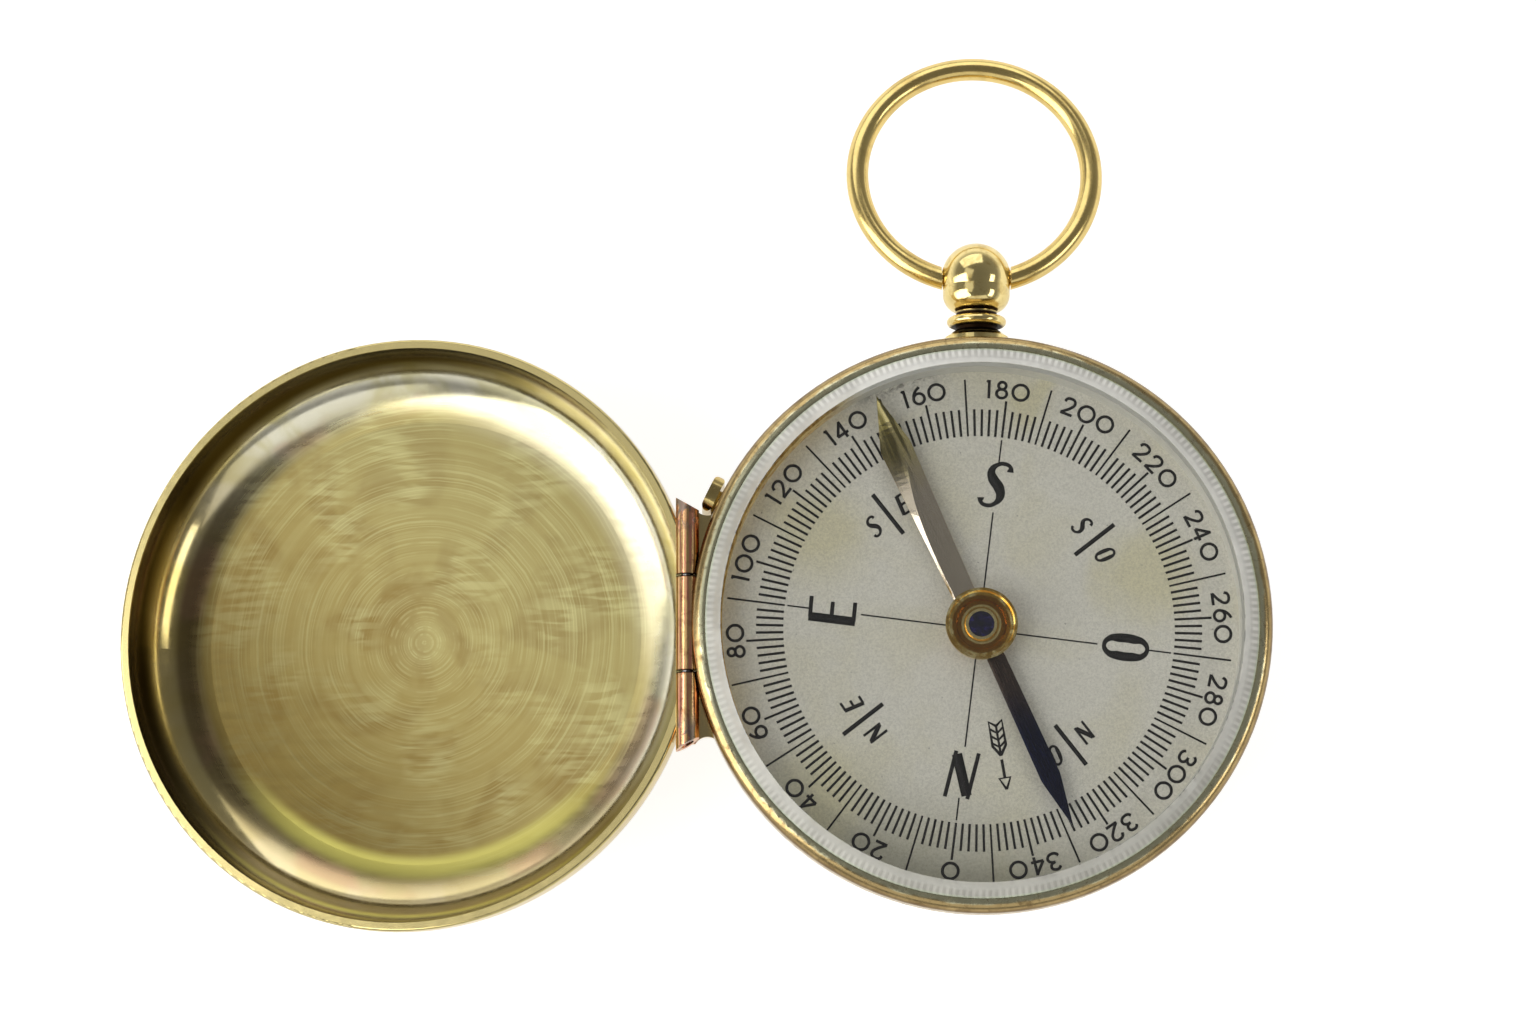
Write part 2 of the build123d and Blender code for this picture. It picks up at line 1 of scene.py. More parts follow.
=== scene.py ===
"""Studio scene for a brass pocket compass that lies open on a table.

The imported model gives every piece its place. This script gives the pieces their finishes,
prints the dial, shapes the facetted needle, and sets the table, the lamps and the camera.
Lengths are in millimetres, but for the table's size and the lamps, which are in metres.
"""

import json
import logging
import math
from dataclasses import dataclass
from typing import Any, Dict, Iterable, List, Sequence, Tuple, Union

import bpy
from mathutils import Matrix, Vector

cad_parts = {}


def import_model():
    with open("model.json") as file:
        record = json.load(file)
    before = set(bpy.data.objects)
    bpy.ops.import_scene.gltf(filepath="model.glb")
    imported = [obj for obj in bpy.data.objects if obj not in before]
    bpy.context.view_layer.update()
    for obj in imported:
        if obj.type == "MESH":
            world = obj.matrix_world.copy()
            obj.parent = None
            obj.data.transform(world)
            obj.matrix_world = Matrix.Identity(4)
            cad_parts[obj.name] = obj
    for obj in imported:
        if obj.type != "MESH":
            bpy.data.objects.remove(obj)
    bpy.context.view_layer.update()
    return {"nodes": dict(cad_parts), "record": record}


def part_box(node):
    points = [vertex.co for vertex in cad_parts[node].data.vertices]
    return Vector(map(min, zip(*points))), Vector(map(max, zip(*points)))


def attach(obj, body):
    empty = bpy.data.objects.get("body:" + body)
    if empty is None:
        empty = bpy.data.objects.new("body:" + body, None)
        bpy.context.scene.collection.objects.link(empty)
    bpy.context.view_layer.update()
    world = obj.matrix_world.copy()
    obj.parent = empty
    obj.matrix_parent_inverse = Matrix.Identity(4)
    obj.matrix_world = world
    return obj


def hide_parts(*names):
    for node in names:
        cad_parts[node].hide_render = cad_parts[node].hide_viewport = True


Colour = Tuple[float, float, float]
Place = Tuple[float, float, float]
Point = Tuple[float, float]
Material = bpy.types.Material
Mesh = bpy.types.Mesh
Piece = bpy.types.Object
Value = Union["Wire", bpy.types.NodeSocket, float, Tuple[float, ...]]
Input = Tuple[Union[int, str], Value]

MM = 0.001
WHITE = (1, 1, 1)
INK_HEIGHT = 0.012  # from the middle of the printing's body to its top
NORTH_POLAR = -66  # where the needle's north arm points, in degrees from +X
log = logging.getLogger("compass")


def rgb(red: int, green: int, blue: int) -> Colour:
    """Turn a screen colour, 0 to 255, into the linear values that shaders take."""
    steps = [c / 255 for c in (red, green, blue)]
    return tuple(c / 12.92 if c <= 0.04045 else ((c + 0.055) / 1.055) ** 2.4 for c in steps)


# ---- Shader building ----
class Wire:
    """A node's output, on which sums are written as on a number."""

    def __init__(self, graph: "Graph", node: bpy.types.Node, output: int = 0) -> None:
        """Take one of a node's outputs."""
        self.graph = graph
        self.socket = node.outputs[output]

    def __add__(self, other: Value) -> "Wire":
        """The sum."""
        return self.graph.maths("ADD", self, other)

    def __sub__(self, other: Value) -> "Wire":
        """The difference."""
        return self.graph.maths("SUBTRACT", self, other)

    def __mul__(self, other: Value) -> "Wire":
        """The product."""
        return self.graph.maths("MULTIPLY", self, other)

    def ranged(self, low: float, high: float, to_low: float = 0, to_high: float = 1) -> "Wire":
        """The number spread from one range to another, and held at the ends."""
        return self.graph.wire("MapRange", *enumerate((self, low, high, to_low, to_high)),
                               interpolation_type="SMOOTHSTEP")


class Graph:
    """The nodes of a material or of the sky, with short ways to add and join them."""

    def __init__(self, tree: bpy.types.NodeTree) -> None:
        """Start with an empty tree."""
        self.tree = tree
        tree.nodes.clear()

    def add(self, kind: str, *inputs: Input, **settings: Any) -> bpy.types.Node:
        """Add a node with its own settings. Each of `inputs` is an input's place or name, and its value."""
        node = self.tree.nodes.new("ShaderNode" + kind)
        for key, value in settings.items():
            setattr(node, key, value)
        for key, value in inputs:
            self.feed(node.inputs[key], value)
        return node

    def wire(self, kind: str, *inputs: Input, **settings: Any) -> Wire:
        """The first output of a new node."""
        return Wire(self, self.add(kind, *inputs, **settings))

    def feed(self, socket: bpy.types.NodeSocket, value: Value) -> None:
        """Give an input a link or a plain value."""
        source = value.socket if isinstance(value, Wire) else value
        if isinstance(source, bpy.types.NodeSocket):
            self.tree.links.new(source, socket)
        elif socket.type == "RGBA" and len(source) == 3:
            socket.default_value = (*source, 1)
        else:
            socket.default_value = source

    def maths(self, operation: str, first: Value, second: Value = 0, third: Value = 0) -> Wire:
        """One step of arithmetic on numbers."""
        return self.wire("Math", *enumerate((first, second, third)), operation=operation)

    def placed(self, centre: Place = (0, 0, 0), turn: Place = (0, 0, 0)) -> Wire:
        """Object coordinates about a centre, in axes turned by degrees about X, Y and Z."""
        coords = self.add("TexCoord").outputs["Object"]
        location = tuple(c * MM for c in centre)
        rotation = tuple(math.radians(a) for a in turn)
        return self.wire("Mapping", ("Vector", coords), ("Location", location),
                         ("Rotation", rotation), ("Scale", (MM, MM, MM)), vector_type="TEXTURE")

    def stretched(self, where: Wire, scale: Place) -> Wire:
        """Scale a vector along each axis."""
        return self.wire("VectorMath", (0, where), (1, scale), operation="MULTIPLY")

    def parts(self, vector: Value) -> List[Wire]:
        """The X, Y and Z of a vector."""
        node = self.add("SeparateXYZ", (0, vector))
        return [Wire(self, node, axis) for axis in range(3)]

    def joined(self, x: Value, y: Value, z: Value) -> Wire:
        """A vector made of three numbers."""
        return self.wire("CombineXYZ", *enumerate((x, y, z)))

    def radius(self, vector: Wire) -> Wire:
        """Distance from the Z axis."""
        x, y, _ = self.parts(vector)
        return self.maths("SQRT", self.maths("MULTIPLY_ADD", x, x, y * y))

    def angle(self, vector: Wire) -> Wire:
        """Angle about the Z axis, in radians."""
        x, y, _ = self.parts(vector)
        return self.maths("ARCTAN2", y, x)

    def fanned(self, vector: Wire, around: float, outward: float) -> Wire:
        """A vector in which noise makes streaks that run out from the Z axis.

        `around` is in cells for each radian of turn, and `outward` for each millimetre outward.
        """
        x, y, _ = self.parts(vector)
        out = self.maths("MAXIMUM", self.radius(vector), 0.01)
        across, up = (self.maths("DIVIDE", part, out) * around for part in (x, y))
        return self.joined(across, up, out * outward)

    def noise(self, where: Wire, scale: float, detail: float = 2, rough: float = 0.5, bend: float = 0,
              dimensions: str = "3D") -> Wire:
        """Cloudy noise, 0 to 1, at a vector, or at a number when its dimensions are "1D".

        `scale` is in cells per millimetre, `detail` in octaves, `rough` is the strength of the finer
        octaves, and `bend` is the distortion.
        """
        place = "W" if dimensions == "1D" else "Vector"
        return self.wire("TexNoise", (place, where), ("Scale", scale), ("Detail", detail),
                         ("Roughness", rough), ("Distortion", bend), noise_dimensions=dimensions)

    def tinted(self, share: Value, first: Value, second: Value) -> Wire:
        """A colour between two others."""
        node = self.add("Mix", (0, share), (6, first), (7, second), data_type="RGBA")
        return Wire(self, node, 2)

    def mixed(self, share: Value, first: Value, second: Value) -> Wire:
        """A shader between two others."""
        return self.wire("MixShader", *enumerate((share, first, second)))

    def bumped(self, height: Wire, depth: float, strength: float) -> Wire:
        """A normal that follows a height of 0 to 1, which stands for a depth in millimetres."""
        return self.wire("Bump", ("Strength", strength), ("Distance", depth * MM),
                         ("Height", height))

    def surface(self, **inputs: Value) -> Wire:
        """A Principled shader; underscores in the names stand for spaces."""
        return self.wire("BsdfPrincipled", *((k.replace("_", " "), v) for k, v in inputs.items()))

    def metal(self, colour: Wire, rough: Wire, height: Wire, depth: float, strength: float,
              metallic: Value = 1) -> Wire:
        """A metal surface with a relief."""
        return self.surface(Base_Color=colour, Metallic=metallic, Roughness=rough,
                            Normal=self.bumped(height, depth, strength))


# ---- Finishes ----
@dataclass(frozen=True)
class Finish:
    """How a surface looks. Every kind of finish has its own `paint`, about its own centre and axes."""

    name: str
    centre = (0, 0, 0)
    turn = (0, 0, 0)

    def paint(self, s: Graph, where: Wire) -> Wire:
        """Build the shader."""
        raise NotImplementedError

    def make(self) -> Material:
        """Build the material."""
        material = bpy.data.materials.new(self.name)
        material.use_nodes = True
        graph = Graph(material.node_tree)
        shader = self.paint(graph, graph.placed(self.centre, self.turn))
        graph.add("OutputMaterial", ("Surface", shader))
        return material


@dataclass(frozen=True)
class Brass(Finish):
    """Polished brass, dulled in patches and crossed by hair scratches."""

    bright: Colour
    dull: Colour
    gloss: float
    worn: float
    patch: float = 2.6
    tarnish: float = 0.7

    def paint(self, s: Graph, where: Wire) -> Wire:
        patches = s.noise(where, 1 / self.patch, 5, 0.62, 0.4).ranged(0.42, 0.7)
        specks = s.noise(where, 3.2, 4, 0.7).ranged(0.6, 0.72)
        hairs = s.noise(s.stretched(where, (0.5, 9, 9)), 1.2, 4, 0.75, 0.3)
        dulled = s.maths("MAXIMUM", patches * self.tarnish, specks * 0.55)
        rough = patches.ranged(0, 1, self.gloss, self.worn) + hairs.ranged(0.35, 0.75, 0, 0.08)
        return s.metal(s.tinted(dulled, self.bright, self.dull), rough, hairs, 0.004, 0.5)


class BezelBrass(Finish):
    """Bezel brass: a polished lip with a painted cream highlight, a painted dark reflection toward the
    outer edge, gold down its side.
    """

    # painted highlight: the cream of the inner lip
    pale = rgb(226, 222, 184)
    gold = rgb(184, 160, 110)
    # the painted dark reflection toward the outer edge, and the brown of rubbed wear
    brown = rgb(108, 86, 56)
    lip_radius = 21.75
    outer_radius = 22.5
    side_level = 11.2

    def paint(self, s: Graph, where: Wire) -> Wire:
        drift = s.noise(where, 0.45, 4, 0.6, 0.4)
        out = s.radius(where) + (drift - 0.5) * 0.5
        handled = s.noise(where, 1.6, 4, 0.65, 0.5)
        drawn = s.noise(s.stretched(where, (1, 1, 9)), 1, 4, 0.7)
        height = s.parts(where)[2]
        # painted dark reflection: the top turns brown toward its outer edge
        painted_dark_edge = (out.ranged(self.lip_radius + 0.35, self.outer_radius + 0.05)
                   * height.ranged(self.side_level - 0.2, self.side_level + 0.3))
        side = s.tinted(painted_dark_edge, self.gold, self.brown)
        # painted highlight: the inner lip is painted cream
        colour = s.tinted(out.ranged(self.lip_radius, self.lip_radius + 0.22), self.pale, side)
        colour = s.tinted(handled.ranged(0.5, 0.72, 0, 0.6), colour, self.brown)
        rough = handled.ranged(0.3, 0.7, 0.12, 0.26) + drawn.ranged(0.3, 0.7, 0, 0.06)
        return s.metal(colour, rough, drawn, 0.004, 0.5)


class GiltRing(Finish):
    """The dial's retaining ring: silvered, and bright brass on the side toward the hinge, partly the ring's
    brass and partly a painted glint.
    """

    silver = rgb(206, 204, 196)
    # painted glint: the bright brass toward the hinge
    gold = rgb(252, 226, 150)
    dark = rgb(196, 152, 72)
    worn_from = 13
    worn_to = 17

    def paint(self, s: Graph, where: Wire) -> Wire:
        x, y, _ = s.parts(where)
        # painted glint: the side toward the hinge is bright brass
        side = (y * 0.25 - x).ranged(self.worn_from, self.worn_to)
        crumbs = s.noise(where, 1.4, 2, 0.5, 0.3)
        brass = s.tinted(crumbs.ranged(0.4, 0.7), self.gold, self.dark)
        rough = crumbs.ranged(0.3, 0.7, 0.34, 0.5)
        return s.metal(s.tinted(side, self.silver, brass), rough, crumbs * side, 0.04, 0.8,
                       side.ranged(0, 1, 0.35, 1))


class HubBrass(Finish):
    """Hub brass: painted highlights on its turned edges, darker brown in the dish between them."""

    # painted highlight of the turned rings, and a lighter random tone on the lip
    bright = rgb(252, 232, 168)
    gold = rgb(214, 172, 78)
    brown = rgb(160, 112, 34)
    ring_radius = 1.2
    dish_radius = 2.25

    def paint(self, s: Graph, where: Wire) -> Wire:
        cloud = s.noise(where, 1.1, 4, 0.6, 0.4)
        out = s.radius(where) + (cloud - 0.5) * 0.12
        ring_end = self.ring_radius + 0.26
        lip = out.ranged(self.dish_radius - 0.06, self.dish_radius + 0.1)
        dish = s.tinted(out.ranged(ring_end, ring_end + 0.15), self.gold, self.brown)
        # painted highlight: a bright ring at the inner edge of the dish
        edge = (out.ranged(ring_end - 0.12, ring_end - 0.04)
                * out.ranged(ring_end + 0.04, ring_end + 0.12, 1, 0))
        dish = s.tinted(edge * 0.8, dish, self.bright)
        # painted highlight: the bright ring round the jewel
        rings = s.tinted(out.ranged(self.ring_radius - 0.03, self.ring_radius + 0.05), self.bright, dish)
        gilt = s.tinted(cloud.ranged(0.42, 0.66), self.gold, self.bright)
        turned = s.noise(s.radius(where), 9, 3, 0.7, dimensions="1D")
        rough = cloud.ranged(0.3, 0.7, 0.1, 0.2)
        return s.metal(s.tinted(lip, rings, gilt), rough, turned, 0.012, 0.6)


class PendantBrass(Finish):
    """Polished brass of the pendant, with painted shade and old dark polish in the grooves of its neck."""

    bright = rgb(240, 218, 150)
    dull = rgb(200, 170, 98)
    # painted shade and old polish in the grooves
    dark = rgb(44, 30, 18)
    centre = (0, 0, 6.2)
    groove_radius = 1.95
    neck_end = 25.3

    def paint(self, s: Graph, where: Wire) -> Wire:
        x, y, z = s.parts(where)
        cloud = s.noise(where, 1.3, 4, 0.6, 0.4)
        caught = s.radius(s.joined(x, z, 0)) + (cloud - 0.5) * 0.5
        # painted shade and old polish: the grooves of the neck are painted dark
        groove_shade_and_polish = (caught.ranged(self.groove_radius, self.groove_radius + 0.3, 1, 0)
                  * y.ranged(self.neck_end - 0.1, self.neck_end + 0.1, 1, 0))
        brass = s.tinted(cloud.ranged(0.45, 0.7, 0, 0.6), self.bright, self.dull)
        rough = cloud.ranged(0.3, 0.7, 0.09, 0.16) + groove_shade_and_polish * 0.4
        return s.metal(s.tinted(groove_shade_and_polish, brass, self.dark), rough, s.noise(where, 7, 3, 0.7), 0.003, 0.4)


class HingeBrass(Finish):
    """Coppery barrel brass, drawn along its length, dark at the joints, with grey solder at the ends."""

    pink = rgb(234, 156, 130)
    gold = rgb(228, 190, 130)
    dull = rgb(174, 120, 84)
    solder = rgb(116, 110, 106)
    dark = rgb(38, 26, 18)
    knuckle_half = 3.75
    barrel_half = 9.9
    joint_half = 0.09

    def paint(self, s: Graph, where: Wire) -> Wire:
        along = s.maths("ABSOLUTE", s.parts(where)[1])
        drawn = s.noise(s.stretched(where, (4, 0.22, 4)), 1, 3, 0.65, 0.3)
        blotch = s.noise(where, 0.9, 4, 0.6, 0.5)
        end = along.ranged(self.barrel_half - 3.4, self.barrel_half - 1.4)
        stain = end * s.noise(where, 0.6, 3, 0.6, 0.6).ranged(0.5, 0.56)
        brass = s.tinted(drawn.ranged(0.38, 0.6), self.pink, self.gold)
        brass = s.tinted(blotch.ranged(0.5, 0.72, 0, 0.7), brass, self.dull)
        colour = s.tinted(stain * 0.85, brass, self.solder)
        off = s.maths("ABSOLUTE", along - self.knuckle_half)
        joint = off.ranged(self.joint_half, self.joint_half + 0.11, 1, 0)
        rough = drawn.ranged(0.3, 0.7, 0.08, 0.2) + stain * 0.22
        return s.metal(s.tinted(joint, colour, self.dark), rough, blotch, 0.02, 0.5)


@dataclass(frozen=True)
class LidBrass(Finish):
    """Lid brass: broken rings and streaks painted as sheen on the inner floor, painted shade and highlights
    on the floor and the polished walls, plain brass outside.

    Heights and radii are about the centre of the rim's circle, in the lid's own axes.
    """

    centre: Place
    turn: Place
    # painted sheen: the colour the floor's streaks and rings are lightened toward
    bright = rgb(206, 202, 146)
    dull = rgb(160, 144, 90)
    brown = rgb(144, 124, 74)
    # the colour of the inner walls, and the painted highlight of the crescent and of the lower right walls
    wall = rgb(246, 241, 216)
    green = rgb(212, 202, 136)
    # painted shade on the upper left walls
    deep = rgb(98, 82, 38)
    # painted shade toward the lower left of the floor
    shadow = rgb(90, 74, 34)
    # painted shade on the left walls
    olive = rgb(170, 148, 78)
    # painted dark reflection at the left of the floor's corner
    stain = rgb(84, 62, 36)
    blush = rgb(204, 160, 130)
    # painted highlight of the yellow-green arc
    acid = rgb(214, 208, 112)
    lip = rgb(206, 190, 132)
    # the plain outer brass, also painted onto the lower inner walls as painted shade
    outside = rgb(220, 198, 140)
    floor_radius = 17.6
    floor_level = -5.8
    corner_level = -0.8
    outer_radius = 23.33

    def inner_side(self, s: Graph, out: Wire, height: Wire) -> Wire:
        """1 on the skin that faces into the lid, and 0 on its outer skin."""
        sideways = s.maths("MAXIMUM", out - self.floor_radius, 0)
        inward = s.maths("MAXIMUM", s.maths("SUBTRACT", self.corner_level, height), 0)
        skin = s.radius(s.joined(sideways, inward, 0))
        span = self.outer_radius - self.floor_radius
        return skin.ranged(span - 0.36, span - 0.24, 1, 0)

    def wall_colour(self, s: Graph, where: Wire, patches: Wire) -> Wire:
        """The inner walls, from the floor's corner to the rim, with painted shade on the upper left, the
        left and the bottom, and painted light at the lower right.
        """
        x, y, height = s.parts(where)
        # painted shade and light: the upper walls go from dark at the upper left to cream at the lower
        # right
        upper = s.tinted((x - y).ranged(-20, 18), self.deep, self.wall)
        walls = s.tinted(patches.ranged(0.4, 0.62, 0, 0.6), self.wall, self.green)
        # painted shade: the lower walls are painted toward the plain outer brass
        walls = s.tinted(y.ranged(-16, -8, 0.75, 0), walls, self.outside)
        # painted shade: the left walls are darkened toward greenish brown
        walls = s.tinted(x.ranged(-21, -11, 0.85, 0), walls, self.olive)
        rise = height.ranged(self.floor_level + 1.5, self.floor_level + 3.1)
        return s.tinted(rise, walls, upper)

    def stained(self, s: Graph, where: Wire, colour: Wire, within: Wire) -> Wire:
        """A colour with the pink blush, a painted dark reflection left of the floor's corner and a painted
        yellow-green highlight arc below it.
        """
        x, y, _ = s.parts(where)
        out, edge = s.radius(where), self.floor_radius
        corner = (out.ranged(edge + 0.6, edge + 1.8)
                  * out.ranged(edge + 2.4, edge + 3, 1, 0) * within)
        blush = corner * s.noise(where, 0.13).ranged(0.5, 0.62, 0, 0.45)
        colour = s.tinted(blush, colour, self.blush)
        # painted dark reflection on the left of the floor's corner
        colour = s.tinted(corner * x.ranged(-17.5, -10, 0.55, 0), colour, self.stain)
        # painted highlight: a yellow-green arc at the lower side of the floor's edge
        lower = (out.ranged(edge - 1, edge)
                 * out.ranged(edge + 0.6, edge + 1.6, 1, 0)
                 * y.ranged(-16, -9, 0.55, 0) * within)
        return s.tinted(lower, colour, self.acid)

    def paint(self, s: Graph, where: Wire) -> Wire:
        out, edge = s.radius(where), self.floor_radius
        x, y, height = s.parts(where)
        within = self.inner_side(s, out, height)
        floor = (out.ranged(edge + 0.4, edge + 3.4, 1, 0)
                 * height.ranged(self.floor_level + 0.6, self.floor_level + 1.8, 1, 0) * within)
        drift = s.noise(where, 0.3)
        ring_place = out + drift * 0.3
        fine = s.noise(ring_place, 5.2, 1, dimensions="1D")
        broad = s.noise(ring_place, 1.1, 1, dimensions="1D")
        arcs = s.noise(s.fanned(where, 2.4, 0.7), 1).ranged(0.38, 0.6, 0.1, 1)
        rings = fine.ranged(0.44, 0.66) * arcs
        ripple = s.noise(s.stretched(where, (0.34, 1.9, 1)), 1, 1, 0.4, 0.35)
        places = s.noise(where, 0.17).ranged(0.44, 0.62) * out.ranged(3, 6)
        streaks = ripple.ranged(0.38, 0.62) * places
        patches = s.noise(where, 0.16, 3, 0.55, 0.6)
        brown = s.tinted(patches.ranged(0.42, 0.64), self.dull, self.brown)
        # painted sheen: streaks, broken rings and a lighter centre lighten the floor's colour as highlights
        # would, and the floor is painted lighter toward the upper right
        sheen = streaks * 0.3 + rings * 0.26 + broad.ranged(0.4, 0.62, 0, 0.1)
        sheen = sheen + (out + drift).ranged(1.5, 4.5, 0.18, 0) + (x + y).ranged(-2, 14, 0, 0.16)
        brushed = s.tinted(sheen, brown, self.bright)
        # painted shade: the floor darkens toward the lower left
        brushed = s.tinted((x + y).ranged(-26, 4, 0.8, 0), brushed, self.shadow)
        # painted highlight: a cream crescent at the upper right of the floor's edge
        pale = (out.ranged(edge - 1.5, edge + 1)
                * s.maths("MULTIPLY_ADD", x, 1.3, y).ranged(17, 31, 0, 0.5))
        brushed = s.tinted(pale, brushed, self.wall)
        colour = s.tinted(floor, self.wall_colour(s, where, patches), brushed)
        colour = self.stained(s, where, colour, within)
        plain = s.tinted(patches.ranged(0.4, 0.66, 0, 0.3), self.outside, self.dull)
        colour = s.tinted(within, plain, colour)
        colour = s.tinted(height.ranged(-0.35, -0.15), colour, self.lip)
        rough_floor = ripple.ranged(0.35, 0.7, 0.3, 0.38) + rings * 0.06
        rough_wall = s.noise(where, 0.8, 4, 0.65).ranged(0.35, 0.7, 0.12, 0.18)
        rough = floor * rough_floor + s.maths("SUBTRACT", 1, floor) * rough_wall
        inner = out.ranged(edge - 2, edge, 1, 0)
        relief = (rings * 0.35 + streaks * 0.4) * inner
        return s.metal(colour, rough, relief, 0.006, 0.6)


class SilveredPlate(Finish):
    """Matt silvered dial plate: fine grain, faint warm clouds, painted warm reflections of the brass,
    painted shade toward its lower edge and corrosion at one place on its edge.

    Each painted reflection is given by its polar angle, distance out and spread.
    """

    plate = rgb(221, 217, 206)
    # the tone of the clouds, and also of the painted reflections
    warm = rgb(213, 205, 169)
    # painted shade toward the lower edge
    shadow = rgb(144, 140, 114)
    pit = rgb(84, 80, 72)
    crust = rgb(224, 224, 220)
    edge = 20.4
    spoiled_polar = 108
    # painted reflections of the brass
    glows = ((150, 14.5, 5), (17, 13.5, 4.5), (80, 18, 3), (226, 17, 5))

    def paint(self, s: Graph, where: Wire) -> Wire:
        grain = s.noise(where, 5.5, 3, 0.85)
        clouds = s.noise(where, 0.16, 3, 0.5, 0.4)
        specks = s.noise(where, 2.6).ranged(0.745, 0.79)
        along = s.maths("ABSOLUTE", s.angle(s.placed(turn=(0, 0, self.spoiled_polar))))
        rim = s.radius(where).ranged(self.edge - 1.5, self.edge)
        spoiled = rim * along.ranged(0.06, 0.24, 1, 0)
        rot = s.noise(where, 1.6, 5, 0.75, 0.8)
        pits = spoiled * rot.ranged(0.46, 0.6)
        crust = spoiled * rot.ranged(0.42, 0.3)
        x, y, _ = s.parts(where)
        plate = s.tinted(clouds.ranged(0.4, 0.72, 0, 0.35), self.plate, self.warm)
        # painted shade: darker toward the lower edge
        low = s.maths("MULTIPLY_ADD", x, 0.25, y).ranged(-21, -11, 0.6, 0)
        plate = s.tinted(low, plate, self.shadow)
        # painted reflections: spots tinted toward the warm colour
        for polar, distance, spread in self.glows:
            turn = math.radians(polar)
            spot = s.placed((distance * math.cos(turn), distance * math.sin(turn), 0))
            near = s.radius(spot) + (clouds - 0.5) * 8
            plate = s.tinted(near.ranged(spread * 0.3, spread, 0.75, 0), plate, self.warm)
        grained = s.tinted(grain.ranged(0.32, 0.72, 0, 0.3), plate, self.pit)
        spotted = s.tinted(specks * 0.5, grained, self.pit)
        colour = s.tinted(crust, s.tinted(pits * 0.85, spotted, self.pit), self.crust)
        return s.metal(colour, grain.ranged(0.3, 0.7, 0.42, 0.58), grain, 0.006, 0.6, 0.35)


class Ink(Finish):
    """Dark printing ink, worn through in specks."""

    ink = rgb(14, 11, 10)
    bare = rgb(140, 136, 126)

    def paint(self, s: Graph, where: Wire) -> Wire:
        worn = s.noise(where, 4, 4, 0.7).ranged(0.7, 0.75)
        tone = s.noise(where, 0.8, 3, 0.6)
        return s.surface(Base_Color=s.tinted(worn * 0.75, self.ink, self.bare), Specular_IOR_Level=0.25,
                         Roughness=tone.ranged(0.3, 0.7, 0.55, 0.7), Normal=s.bumped(tone, 0.004, 0.4))


class NeedleSteel(Finish):
    """Needle steel: blued on the north arm, polished on the south arm, with a painted yellowish reflection
    of the brass toward its tip.
    """

    turn = (0, 0, NORTH_POLAR)
    bright = rgb(224, 210, 190)
    # painted reflection of the brass on the south arm's tip
    straw = rgb(226, 210, 150)
    olive = rgb(132, 120, 66)
    brown = rgb(88, 74, 66)
    blue = rgb(30, 34, 62)

    def paint(self, s: Graph, where: Wire) -> Wire:
        along = s.parts(where)[0]
        brushed = s.noise(s.stretched(where, (0.6, 12, 1)), 1, 4, 0.7)
        wavy = along + (s.noise(where, 0.9, 4, 0.65, 0.4) - 0.5) * 3
        north = s.tinted(wavy.ranged(4.5, 9.5), self.brown, self.blue)
        streak = s.noise(s.stretched(where, (0.1, 1.1, 1)), 1, 2, 0.5, 0.3)
        # painted reflection of the brass lid toward the south tip, in streaks
        gilt = s.tinted(streak.ranged(0.46, 0.6), self.straw, self.olive)
        south = s.tinted((wavy * -1).ranged(11, 15.5), self.bright, gilt)
        colour = s.tinted(along.ranged(-0.4, 0.4), south, north)
        rough = brushed.ranged(0.3, 0.7, 0.07, 0.16) + along.ranged(0, 4, 0, 0.14)
        return s.metal(colour, rough, brushed, 0.004, 0.5)


class PlainSteel(Finish):
    """Bright steel of pins, spring and screws, lightly brushed."""

    bright = rgb(196, 196, 196)
    dull = rgb(140, 140, 142)

    def paint(self, s: Graph, where: Wire) -> Wire:
        brushed = s.noise(s.stretched(where, (1, 8, 8)), 1, 4, 0.7)
        colour = s.tinted(s.noise(where, 0.8, 4, 0.6).ranged(0.4, 0.7), self.bright, self.dull)
        return s.metal(colour, brushed.ranged(0.3, 0.7, 0.18, 0.34), brushed, 0.005, 0.5)


